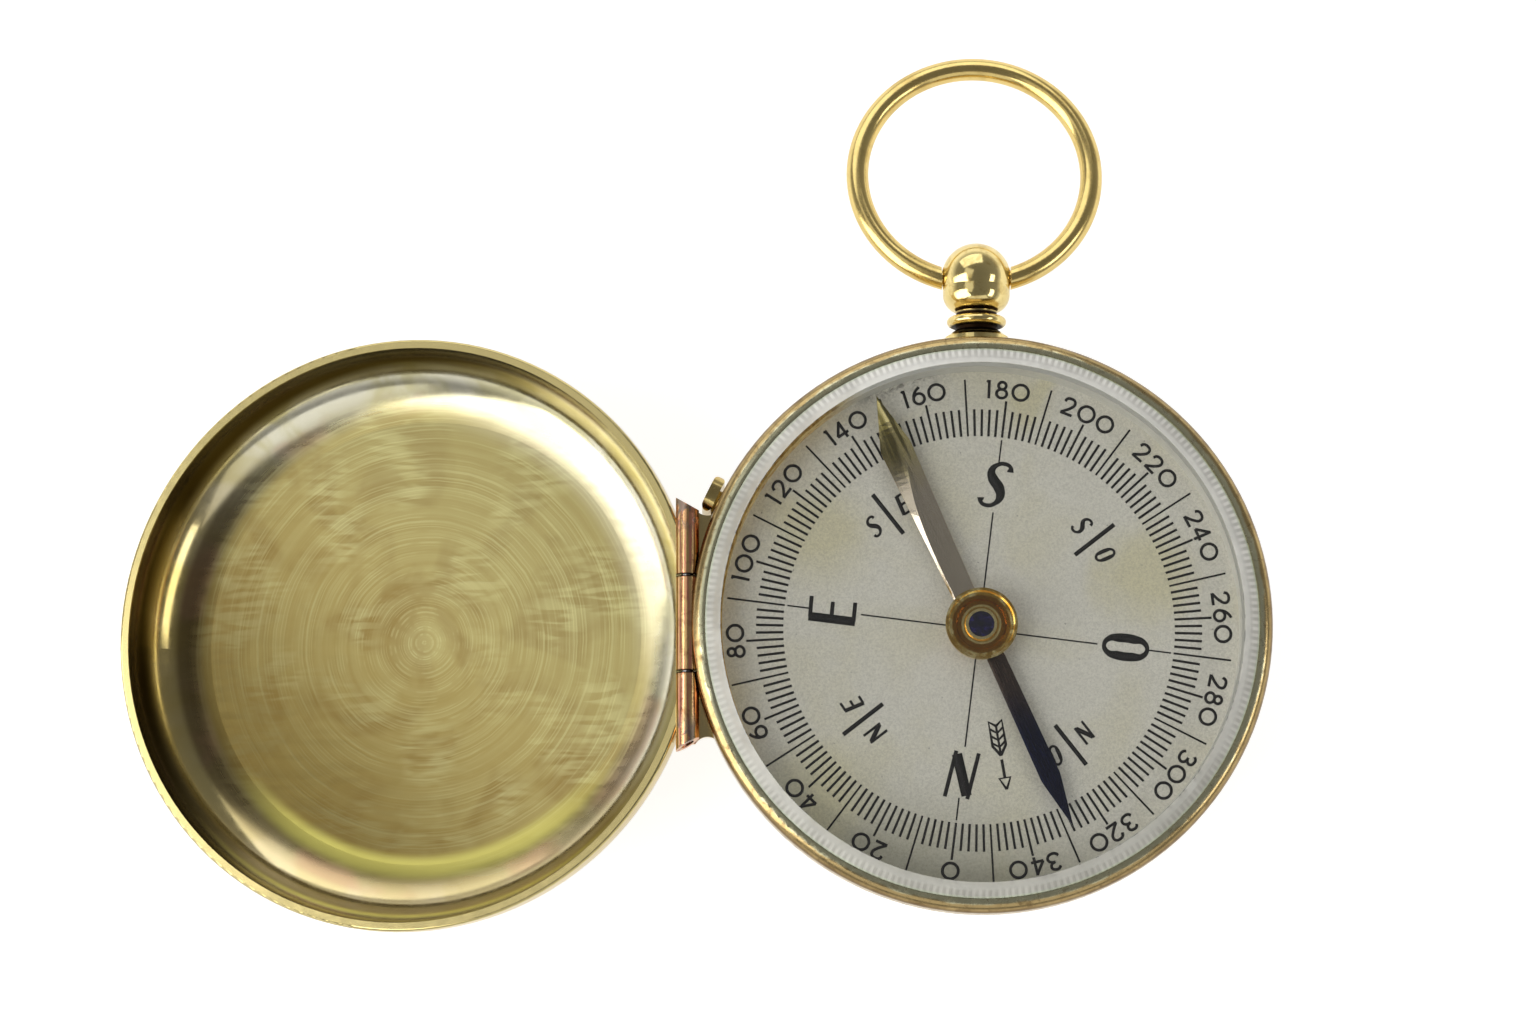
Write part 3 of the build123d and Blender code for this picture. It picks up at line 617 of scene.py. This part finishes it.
class BevelledGlass(Finish):
    """Clear glass that lets light through to the dial, with a finely milled bevel."""

    clear = (0.985, 0.995, 0.985)
    through = (0.95, 0.955, 0.95)
    milled = rgb(206, 204, 194)
    lit = rgb(252, 250, 242)
    furrow = rgb(168, 166, 156)
    rim = rgb(206, 216, 188)
    flat_radius = 20.2
    edge_radius = 21.4
    foot_level = 11.3
    ribs = 262
    refraction = 1.5

    def ground(self, s: Graph, where: Wire, rise: Wire) -> Wire:
        """The ground glass of the bevel, ribbed by the mill."""
        x, y, _ = s.parts(where)
        ribs = s.maths("SINE", s.angle(where) * self.ribs).ranged(-0.9, 0.9) * rise
        toward_light = s.maths("MULTIPLY_ADD", x, 0.6, y)
        chalk = s.tinted(toward_light.ranged(-4, 19), self.milled, self.lit)
        chalk = s.tinted(ribs * 0.5, chalk, self.furrow)
        rim = s.radius(where).ranged(self.edge_radius - 0.22, self.edge_radius - 0.06)
        chalk = s.tinted(rim * 0.6, chalk, self.rim)
        return s.surface(Base_Color=chalk, Roughness=0.35, IOR=self.refraction,
                         Normal=s.bumped(ribs, 0.04, 0.6))

    def paint(self, s: Graph, where: Wire) -> Wire:
        out = s.radius(where)
        rise = out.ranged(self.flat_radius + 0.3, self.edge_radius - 0.35)
        smudge = s.noise(where, 0.5, 4, 0.6).ranged(0.4, 0.8, 0, 0.03)
        bevel = (out.ranged(self.flat_radius - 0.02, self.flat_radius + 0.06)
                 * s.parts(where)[2].ranged(self.foot_level, self.foot_level + 0.2))
        cloud = s.noise(where, 0.35, 3, 0.6).ranged(0.35, 0.65, -0.1, 0.08)
        frost = bevel * (rise.ranged(0, 1, 0.7, 0.88) + cloud)
        glass = s.surface(Base_Color=self.clear, Roughness=smudge, IOR=self.refraction,
                          Transmission_Weight=1)
        open_way = s.wire("BsdfTransparent", ("Color", self.through))
        path = s.add("LightPath")
        passing = s.maths("MAXIMUM", path.outputs["Is Shadow Ray"], path.outputs["Is Diffuse Ray"])
        return s.mixed(passing, s.mixed(frost, glass, self.ground(s, where, rise)), open_way)


class Jewel(Finish):
    """Polished dark stone with a little cloud in it."""

    deep = rgb(6, 5, 14)
    light = rgb(32, 24, 80)

    def paint(self, s: Graph, where: Wire) -> Wire:
        cloud = s.noise(where, 2, 4, 0.6, 0.5)
        clouded = cloud.ranged(0.35, 0.75) * s.radius(where).ranged(0.1, 0.45)
        colour = s.tinted(clouded, self.deep, self.light)
        rough = cloud.ranged(0.3, 0.7, 0.04, 0.14)
        return s.surface(Base_Color=colour, Roughness=rough, Coat_Weight=0.6,
                         Normal=s.bumped(cloud, 0.004, 0.3))


class TablePaper(Finish):
    """White table sheet: lit by the lamps so that it keeps faint shadows, and seen as white.

    `lift` is added wherever the sheet is looked at, `veil` for the camera near by, and `far_glow` for the
    camera far off, so that the sheet's end doesn't show.
    """

    white = (0.5, 0.5, 0.5)
    lift = 0.66
    veil = 0.14
    far_glow = 0.5
    far_from = 150
    far_to = 600

    def paint(self, s: Graph, where: Wire) -> Wire:
        fibre = s.noise(where, 1.5, 3, 0.6)
        sheet = s.surface(Base_Color=self.white, Roughness=fibre.ranged(0.3, 0.7, 0.8, 0.95))
        path = s.add("LightPath")
        watched = path.outputs["Is Camera Ray"]
        seen = s.maths("MAXIMUM", watched, path.outputs["Is Glossy Ray"])
        seen = s.maths("MAXIMUM", seen, path.outputs["Is Transmission Ray"])
        haze = s.radius(where).ranged(self.far_from, self.far_to, self.veil, self.far_glow) * watched
        strength = s.maths("MULTIPLY_ADD", seen, self.lift, haze)
        glow = s.wire("Emission", ("Color", WHITE), ("Strength", strength))
        return s.wire("AddShader", (0, sheet), (1, glow))


# ---- Lettering ----
@dataclass(frozen=True)
class Stroke:
    """One pull of the pen: points in letter heights, with the pen's width at each."""

    points: Tuple[Point, ...]
    widths: Tuple[float, ...]
    smooth: bool = False
    closed: bool = False


def line(*points: Point, width: float = 0.13) -> Stroke:
    """A straight-sided stroke of even width."""
    return Stroke(points, (width,) * len(points))


def sweep(*points: Tuple[float, ...], width: float = 0.13, closed: bool = False) -> Stroke:
    """A curved stroke; a third number in a point is the width there."""
    widths = tuple(p[2] if len(p) > 2 else width for p in points)
    return Stroke(tuple((p[0], p[1]) for p in points), widths, True, closed)


def loop(x: float, y: float, across: float, up: float, width: float = 0.13) -> Stroke:
    """A round or oval stroke about a centre."""
    turns = [math.radians(45 * i) for i in range(8)]
    points = [(x + across * math.cos(t), y + up * math.sin(t)) for t in turns]
    return sweep(*points, width=width, closed=True)


# Each digit's strokes, and the room it takes along the line.
DIGITS: Dict[str, Tuple[Tuple[Stroke, ...], float]] = {
    "0": ((loop(0, 0.5, 0.42, 0.42),), 1.03),
    "1": ((line((0.02, 0), (0.02, 1)), line((0, 0.97), (-0.1, 0.88), width=0.09)), 0.48),
    "2": ((sweep((-0.3, 0.7), (-0.22, 0.87), (0, 0.935), (0.21, 0.86), (0.26, 0.68), (0.14, 0.47),
                 (-0.31, 0.07)),
           line((-0.34, 0.065), (0.32, 0.065))), 0.84),
    "3": ((sweep((-0.27, 0.8), (-0.15, 0.92), (0.04, 0.93), (0.21, 0.82), (0.2, 0.65), (0.02, 0.54),
                 (-0.06, 0.535)),
           sweep((-0.06, 0.535), (0.18, 0.49), (0.3, 0.32), (0.22, 0.14), (0, 0.065), (-0.2, 0.11),
                 (-0.31, 0.25))), 0.82),
    "4": ((line((0.1, 0), (0.1, 0.98)), line((0.12, 0.96), (-0.36, 0.27)),
           line((-0.38, 0.27), (0.3, 0.27))), 0.86),
    "6": ((loop(0.02, 0.345, 0.29, 0.285),
           sweep((-0.265, 0.37), (-0.22, 0.58), (-0.07, 0.8), (0.16, 0.97))), 0.82),
    "8": ((loop(0, 0.735, 0.205, 0.2), loop(0, 0.3, 0.275, 0.24)), 0.82),
}

LETTERS: Dict[str, Tuple[Stroke, ...]] = {
    "N": (line((-0.24, 0), (-0.24, 1), width=0.08),
          line((-0.21, 0.93), (0.21, 0.07), width=0.22),
          line((0.24, 0), (0.24, 1), width=0.08)),
    "S": (sweep((0.225, 0.8, 0.15), (0.21, 0.9, 0.08), (0.09, 0.965, 0.065), (-0.08, 0.93, 0.09),
                (-0.17, 0.78, 0.16), (-0.1, 0.62, 0.22), (0.07, 0.44, 0.23), (0.14, 0.26, 0.18),
                (0.06, 0.09, 0.09), (-0.1, 0.035, 0.065), (-0.24, 0.1, 0.08), (-0.26, 0.19, 0.15)),),
    "E": (line((-0.17, 0), (-0.17, 1), width=0.19),
          line((-0.17, 0.965), (0.27, 0.985), width=0.07),
          line((-0.17, 0.51), (0.2, 0.52), width=0.06),
          line((-0.17, 0.035), (0.24, 0.045), width=0.07)),
    "O": (sweep((0, 0.96, 0.07), (-0.15, 0.87, 0.12), (-0.19, 0.66, 0.19), (-0.19, 0.34, 0.19),
                (-0.15, 0.13, 0.12), (0, 0.04, 0.07), (0.15, 0.13, 0.12), (0.19, 0.34, 0.19),
                (0.19, 0.66, 0.19), (0.15, 0.87, 0.12), closed=True),),
}


def select(*pieces: Piece) -> None:
    """Leave object mode and select these objects alone; the first one becomes active."""
    if bpy.context.object is not None and bpy.context.object.mode != "OBJECT":
        bpy.ops.object.mode_set(mode="OBJECT")
    bpy.ops.object.select_all(action="DESELECT")
    for piece in pieces:
        piece.select_set(True)
    if pieces:
        bpy.context.view_layer.objects.active = pieces[0]


def put_in_scene(name: str, data: bpy.types.ID) -> Piece:
    """A new object of the given data, linked into the scene."""
    thing = bpy.data.objects.new(name, data)
    bpy.context.scene.collection.objects.link(thing)
    return thing


def join_all(pieces: Sequence[Piece], name: str) -> Piece:
    """Join meshes into the first of them and name it."""
    select(*pieces)
    if len(pieces) > 1:
        bpy.ops.object.join()
    joined = pieces[0]
    joined.name = name
    joined.data.name = name
    return joined


def coat(piece: Piece, material: Material) -> None:
    """Give a piece one material alone."""
    piece.data.materials.clear()
    piece.data.materials.append(material)


def draw(strokes: Iterable[Stroke], scale: float = 1, slant: float = 0, least: float = 0) -> Mesh:
    """Draw strokes as a thin flat body of ink about the origin.

    `scale` is the letter height in millimetres, `slant` the lean to the right for each unit of height, and
    `least` the thinnest line allowed, in letter heights.
    """
    curve = bpy.data.curves.new("pen", "CURVE")
    curve.dimensions = "3D"
    curve.bevel_depth = 0.5  # a knot's radius is then the pen's width there
    curve.bevel_resolution = 0
    curve.resolution_u = 6
    curve.use_fill_caps = True
    for stroke in strokes:
        spline = curve.splines.new("BEZIER")
        spline.bezier_points.add(len(stroke.points) - 1)
        for knot, (x, y), width in zip(spline.bezier_points, stroke.points, stroke.widths):
            knot.co = (x + slant * (y - 0.5), y, 0)
            kind = "AUTO" if stroke.smooth else "VECTOR"
            knot.handle_left_type = kind
            knot.handle_right_type = kind
            knot.radius = max(width, least)
        spline.use_cyclic_u = stroke.closed
        if not stroke.smooth:
            spline.resolution_u = 1
    select(put_in_scene("pen", curve))
    bpy.ops.object.convert(target="MESH")
    inked = bpy.context.view_layer.objects.active
    mesh = inked.data.copy()
    bpy.data.objects.remove(inked)
    flat = INK_HEIGHT * MM / max(v.co.z for v in mesh.vertices)
    mesh.transform(Matrix.Diagonal((scale * MM, scale * MM, flat, 1)))
    return mesh


def bar(start: float, end: float, width: float) -> Mesh:
    """A straight mark for between two distances, that starts at the origin and runs up."""
    return draw([line((0, 0), (0, end - start), width=width)])


@dataclass
class DialPrinting:
    """Everything printed on the dial. Bearings are those printed on the ring, in degrees.

    A tick is given by its outer end and width, and the longer ones by where they are in 20 degrees.
    """

    level: float
    zero_polar = -97.2
    centre = (-0.12, -0.2)
    tick_inner = 15.2
    tick = (17.33, 0.19)
    longer_ticks = {0: (18.1, 0.18), 10: (19.7, 0.15)}
    numeral_middle = 18.95
    numeral_height = 1.45
    numeral_spread = 1.1
    numeral_pen = 0.155
    letter_middle = 11.45
    letter_height = 3.65
    letter_slant = 0.13
    letter_pen = 0.085
    small_height = 1.6
    small_offset = 7.2
    small_pen = 0.125
    bar_inner = 9.5
    bar_outer = 13.4
    bar_width = 0.34
    cross_spans = ((1.7, 9.25), (13.25, 15))
    cross_width = 0.12
    arrow_bearing = 343.5
    arrow_start = 7.05

    def stamp(self, mesh: Mesh, bearing: float, distance: float) -> Piece:
        """Put a copy of a mark on the dial, at a distance from its centre, with its top outward."""
        angle = math.radians(self.zero_polar - bearing)
        across, up = self.centre
        place = Vector((across + distance * math.cos(angle), up + distance * math.sin(angle), self.level))
        copy = mesh.copy()
        copy.transform(Matrix.Translation(place * MM) @ Matrix.Rotation(angle - math.pi / 2, 4, "Z"))
        return put_in_scene("mark", copy)

    def degree_ring(self) -> Piece:
        """The ring of ticks, one every two degrees; those at the tens are longer."""
        short = bar(self.tick_inner, *self.tick)
        longer = {place: bar(self.tick_inner, *tick) for place, tick in self.longer_ticks.items()}
        marks = [self.stamp(longer.get(bearing % 20, short), bearing, self.tick_inner)
                 for bearing in range(0, 360, 2)]
        return join_all(marks, "degree_ring")

    def numerals(self) -> Piece:
        """The figures from 0 to 340, each digit set on the circle."""
        drawn = {digit: draw(strokes, self.numeral_height, 0, self.numeral_pen)
                 for digit, (strokes, _) in DIGITS.items()}
        base = self.numeral_middle - self.numeral_height / 2
        marks = []
        for number in range(0, 360, 20):
            digits = str(number)
            rooms = [DIGITS[d][1] * self.numeral_height * self.numeral_spread for d in digits]
            start = -sum(rooms) / 2
            for digit, room in zip(digits, rooms):
                shift = math.degrees((start + room / 2) / self.numeral_middle)
                marks.append(self.stamp(drawn[digit], number + shift, base))
                start += room
        return join_all(marks, "degree_numerals")

    def cardinals(self) -> Piece:
        """The four large letters."""
        base = self.letter_middle - self.letter_height / 2
        marks = []
        for bearing, letter in zip(range(0, 360, 90), "NESO"):
            slant = 0 if letter in "EO" else self.letter_slant
            mesh = draw(LETTERS[letter], self.letter_height, slant, self.letter_pen)
            marks.append(self.stamp(mesh, bearing, base))
        return join_all(marks, "cardinal_letters")

    def half_cardinals(self) -> Piece:
        """A bar with two small letters at each half cardinal."""
        base = self.letter_middle - self.small_height / 2
        rule = bar(self.bar_inner, self.bar_outer, self.bar_width)
        marks = []
        for bearing, pair in zip(range(45, 360, 90), ("NE", "SE", "SO", "NO")):
            marks.append(self.stamp(rule, bearing, self.bar_inner))
            for letter, side in zip(pair, (-1, 1)):
                mesh = draw(LETTERS[letter], self.small_height, self.letter_slant, self.small_pen)
                marks.append(self.stamp(mesh, bearing + side * self.small_offset, base))
        return join_all(marks, "half_cardinal_letters")

    def cross(self) -> Piece:
        """The hairlines from the hub to the four letters, and on to the ring."""
        hairs = [(start, bar(start, end, self.cross_width)) for start, end in self.cross_spans]
        marks = [self.stamp(hair, bearing, start) for bearing in (0, 90, 180, 270) for start, hair in hairs]
        return join_all(marks, "cross_lines")

    def arrow(self) -> Piece:
        """The feathered arrow that marks the variation."""
        strokes = [
            line((0, 0.62), (-0.52, 0.22), (-0.52, 2.15), (0, 2.95), width=0.22),
            line((0, 0.62), (0.52, 0.22), (0.52, 2.15), (0, 2.95), width=0.22),
            line((0, 0.62), (0, 2.95), width=0.18),
            line((0, 3.25), (0, 4.75), width=0.23),
            line((0, 5.6), (-0.44, 4.7), (0.44, 4.7), (0, 5.6), width=0.2),
        ]
        strokes += [line((-0.5, y), (0, y + 0.38), (0.5, y), width=0.18) for y in (0.8, 1.35, 1.9)]
        mark = self.stamp(draw(strokes), self.arrow_bearing, self.arrow_start)
        return join_all([mark], "variation_arrow")

    def build(self, ink: Material) -> None:
        """Print the whole dial in one ink and fix it to the case."""
        for piece in (self.degree_ring(), self.numerals(), self.cardinals(), self.half_cardinals(),
                      self.cross(), self.arrow()):
            coat(piece, ink)
            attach(piece, "case")
            log.info("printed %s", piece.name)


# ---- Needle ----
@dataclass(frozen=True)
class NeedleArm:
    """One arm of the needle, laid along +X: a lozenge with a low ridge.

    The ridge's place is a share of the half width from the middle: `ridge_root` by the hub,
    `ridge_shoulder` at the shoulder, and `ridge_turn` says how late it crosses over.
    """

    shoulder: float
    tip: float
    root_half: float
    shoulder_half: float
    ridge_root: float
    ridge_shoulder: float
    ridge_turn: float
    ridge_rise: float
    offset: float = 0
    root = 1.5
    tip_half = 0.012
    underside = 9.15
    thickness = 0.2

    def section(self, x: float) -> Point:
        """Half the arm's width at a distance from the pivot, and the ridge's place there."""
        if x <= self.shoulder:
            share = (x - self.root) / (self.shoulder - self.root)
            ridge = self.ridge_root + share ** self.ridge_turn * (self.ridge_shoulder - self.ridge_root)
            return self.root_half + share * (self.shoulder_half - self.root_half), ridge
        share = (self.tip - x) / (self.tip - self.shoulder)
        return max(self.shoulder_half * share, self.tip_half), self.ridge_shoulder * share

    def build(self, bearing: float) -> Piece:
        """The arm as a closed mesh, turned to a polar angle in degrees."""
        select()
        bpy.ops.mesh.primitive_grid_add(x_subdivisions=40, y_subdivisions=2, size=1)
        arm = bpy.context.object
        for vertex in arm.data.vertices:
            x = self.root + (vertex.co.x + 0.5) * (self.tip - self.root)
            side = round(vertex.co.y * 2)
            half, ridge = self.section(x)
            ease = min(1, (x - self.root) / 1.5, (self.tip - x) / 2.5 + 0.1)
            y = half * (side if side else ridge) + self.offset * half / self.shoulder_half
            z = self.underside + self.thickness + (0 if side else self.ridge_rise * ease)
            vertex.co = Vector((x, y, z)) * MM
        select(arm)
        bpy.ops.object.mode_set(mode="EDIT")
        bpy.ops.mesh.select_all(action="SELECT")
        bpy.ops.mesh.extrude_region_move(TRANSFORM_OT_translate={"value": (0, 0, -self.thickness * MM)})
        bpy.ops.mesh.select_all(action="SELECT")
        bpy.ops.mesh.normals_make_consistent(inside=False)
        bpy.ops.object.mode_set(mode="OBJECT")
        # The ridge was pushed through to the lower side as well, which is flat.
        low = self.underside * MM
        waist = low + (self.thickness + self.ridge_rise) / 2 * MM
        for vertex in arm.data.vertices:
            if low < vertex.co.z < waist:
                vertex.co.z = low
        arm.data.transform(Matrix.Rotation(math.radians(bearing), 4, "Z"))
        return arm


def build_needle(steel: Material) -> None:
    """Shape both arms of the needle and put them in the blade's place."""
    north = NeedleArm(shoulder=13, tip=17.2, root_half=0.7, shoulder_half=0.8, ridge_root=-0.8,
                      ridge_shoulder=-0.75, ridge_turn=1, ridge_rise=0.03)
    south = NeedleArm(shoulder=15.5, tip=19.75, root_half=0.9, shoulder_half=1.25, ridge_root=0.84,
                      ridge_shoulder=-0.8, ridge_turn=3.4, ridge_rise=0.16, offset=0.3)
    blade = join_all([north.build(NORTH_POLAR), south.build(NORTH_POLAR + 180)], "facetted_needle")
    select(blade)
    modifier = blade.modifiers.new("edge", "BEVEL")
    modifier.width = 0.02 * MM
    modifier.segments = 1
    modifier.limit_method = "ANGLE"
    modifier.angle_limit = math.radians(50)
    bpy.ops.object.modifier_apply(modifier="edge")
    coat(blade, steel)
    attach(blade, "needle")
    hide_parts("needle_blade")
    log.info("shaped %s", blade.name)


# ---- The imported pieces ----
@dataclass
class Case:
    """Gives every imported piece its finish: its own, or else that of its material slot in the record."""

    record: Dict[str, Any]
    nodes: Dict[str, Piece]

    def lid_finish(self) -> Finish:
        """The lid's finish, set about the centre of the open lid's rim circle."""
        swing = next(j for j in self.record["behaviour"]["joints"] if j["name"] == "lid_swing")
        opening = swing["range_deg"][1]
        hinge = Vector(swing["pos_m"]) / MM
        angle = math.radians(opening)
        centre = (hinge.x - hinge.x * math.cos(angle), 0, hinge.z - hinge.x * math.sin(angle))
        return LidBrass("lid_brass", centre, (0, 180 - opening, 0))

    def slot_finishes(self) -> List[Finish]:
        """One finish for each slot of the record, named after the slot."""
        return [
            Brass("case_brass", rgb(216, 194, 138), rgb(190, 164, 108), 0.14, 0.24, 6, 0.6),
            self.lid_finish(),
            Brass("bow_brass", rgb(235, 208, 134), rgb(196, 167, 96), 0.15, 0.22, 3.5, 0.6),
            HingeBrass("hinge_brass"),
            Brass("inner_brass", rgb(208, 184, 120), rgb(150, 126, 74), 0.16, 0.32),
            HubBrass("hub_brass"),
            BevelledGlass("bevelled_glass"),
            SilveredPlate("silvered_dial"),
            NeedleSteel("needle_steel"),
            PlainSteel("steel"),
            Jewel("jewel"),
        ]

    def dress(self) -> Dict[str, Material]:
        """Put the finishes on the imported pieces, and hand over those of the slots."""
        materials = {finish.name: finish.make() for finish in self.slot_finishes()}
        own = {"bezel_ring": BezelBrass("bezel_brass").make(),
               "pendant_knob": PendantBrass("pendant_brass").make(),
               "dial_retaining_ring": GiltRing("gilt_ring").make()}
        for row in self.record["subparts"]:
            coat(self.nodes[row["node"]], own.get(row["node"], materials[row["material_slot"]]))
            log.info("%s takes %s", row["node"], row["material_slot"])
        return materials


# ---- Studio ----
@dataclass
class Studio:
    """Table, lamps, sky and camera.

    `steepest_table` is in degrees, `table_size` in metres and `table_gap` in millimetres. Each of the
    `sky_steps` is a height on the sky, 0 to 1, and its brightness.
    """

    nodes: Dict[str, Piece]
    steepest_table = 12
    halvings = 30
    table_size = 6
    table_gap = 0.02
    aim = (-16.4, 10.7, 0)
    distance = 455
    pitch = 8.92
    yaw = -0.53
    roll = -0.14
    lens = 134.25
    sensor = 36
    sky_steps = ((0, 0.92), (0.12, 0.6), (0.3, 0.26), (1, 0.16))

    def lowest(self, name: str, up: Vector) -> float:
        """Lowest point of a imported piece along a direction, in metres."""
        return min(vertex.co.dot(up) for vertex in self.nodes[name].data.vertices)

    def table(self) -> None:
        """A wide sheet that falls a little toward the lid, so that the lid and the case both rest on it."""
        low, high = 0, math.radians(self.steepest_table)
        for _ in range(self.halvings):
            tilt = (low + high) / 2
            up = Vector((-math.sin(tilt), 0, math.cos(tilt)))
            lid, case = (self.lowest(name, up) for name in ("lid_shell", "case_body"))
            if lid > case:
                high = tilt
            else:
                low = tilt
        level = min(lid, case) - self.table_gap * MM
        select()
        bpy.ops.mesh.primitive_plane_add(size=self.table_size)
        sheet = bpy.context.object
        sheet.name = "table_sheet"
        turn = up.to_track_quat("Z", "Y").to_matrix().to_4x4()
        sheet.data.transform(Matrix.Translation(up * level) @ turn)
        coat(sheet, TablePaper("table_paper").make())
        log.info("table tilted by %.2f degrees", math.degrees(tilt))

    def sky(self) -> None:
        """A bright horizon under a dimmer ceiling; white where the camera sees it."""
        world = bpy.data.worlds.new("studio")
        world.use_nodes = True
        graph = Graph(world.node_tree)
        height = graph.parts(graph.add("TexCoord").outputs["Generated"])[2]
        ramp = graph.add("ValToRGB", (0, height))
        stops = ramp.color_ramp.elements
        while len(stops) < len(self.sky_steps):
            stops.new(1)
        for stop, (place, level) in zip(stops, self.sky_steps):
            stop.position = place
            stop.color = (level, level, level, 1)
        watched = graph.add("LightPath").outputs["Is Camera Ray"]
        seen = graph.tinted(watched, ramp.outputs[0], WHITE)
        graph.add("OutputWorld", ("Surface", graph.wire("Background", ("Color", seen))))
        bpy.context.scene.world = world

    def lamp(self, name: str, azimuth: float, elevation: float, distance: float, width: float,
             depth: float, radiance: float, colour: Colour = WHITE) -> None:
        """A rectangular soft box that faces the compass; lengths in metres, angles in degrees."""
        data = bpy.data.lights.new(name, "AREA")
        data.shape = "RECTANGLE"
        data.size = width
        data.size_y = depth
        data.color = colour
        data.energy = radiance * math.pi * width * depth
        lamp = put_in_scene(name, data)
        turn, rise = math.radians(azimuth), math.radians(elevation)
        toward = Vector((math.cos(rise) * math.cos(turn), math.cos(rise) * math.sin(turn), math.sin(rise)))
        lamp.location = Vector(self.aim) * MM + distance * toward
        lamp.rotation_euler = (Vector(self.aim) * MM - lamp.location).to_track_quat("-Z", "Y").to_euler()

    def lamps(self) -> None:
        """The soft boxes round the table."""
        self.lamp("left_box", 200, 33, 0.9, 0.72, 0.88, 3, (1, 0.99, 0.97))
        self.lamp("back_panel", 106, 32, 1, 1.16, 0.66, 1.25, (0.98, 0.99, 1))
        self.lamp("upper_left_panel", 160, 62, 1, 0.5, 0.5, 0.55, (1, 1, 0.98))
        self.lamp("right_panel", 346, 37, 1, 0.56, 0.26, 2.8)
        self.lamp("front_panel", 276, 42, 1, 1.2, 0.6, 0.6)

    def camera(self) -> None:
        """The camera, nearly overhead and a little to the front."""
        turn = (Matrix.Rotation(math.radians(self.roll), 3, "Z")
                @ Matrix.Rotation(math.radians(self.yaw), 3, "Y")
                @ Matrix.Rotation(math.radians(self.pitch), 3, "X"))
        eye = Vector(self.aim) * MM + turn @ Vector((0, 0, self.distance * MM))
        data = bpy.data.cameras.new("camera")
        data.lens = self.lens
        data.sensor_width = self.sensor
        data.clip_start = 0.01
        data.clip_end = 20
        camera = put_in_scene("camera", data)
        camera.matrix_world = Matrix.Translation(eye) @ turn.to_4x4()
        bpy.context.scene.camera = camera

    def build(self) -> None:
        """Set up the whole studio."""
        bpy.context.scene.view_settings.view_transform = "Standard"
        self.table()
        self.sky()
        self.lamps()
        self.camera()


def main() -> None:
    """Build the compass and its studio."""
    logging.basicConfig(level=logging.INFO, format="%(message)s")
    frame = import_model()
    materials = Case(frame["record"], frame["nodes"]).dress()
    dial_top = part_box("dial_plate")[1].z / MM
    DialPrinting(dial_top + INK_HEIGHT).build(Ink("dial_ink").make())
    build_needle(materials["needle_steel"])
    Studio(frame["nodes"]).build()


if __name__ == "__main__":
    main()
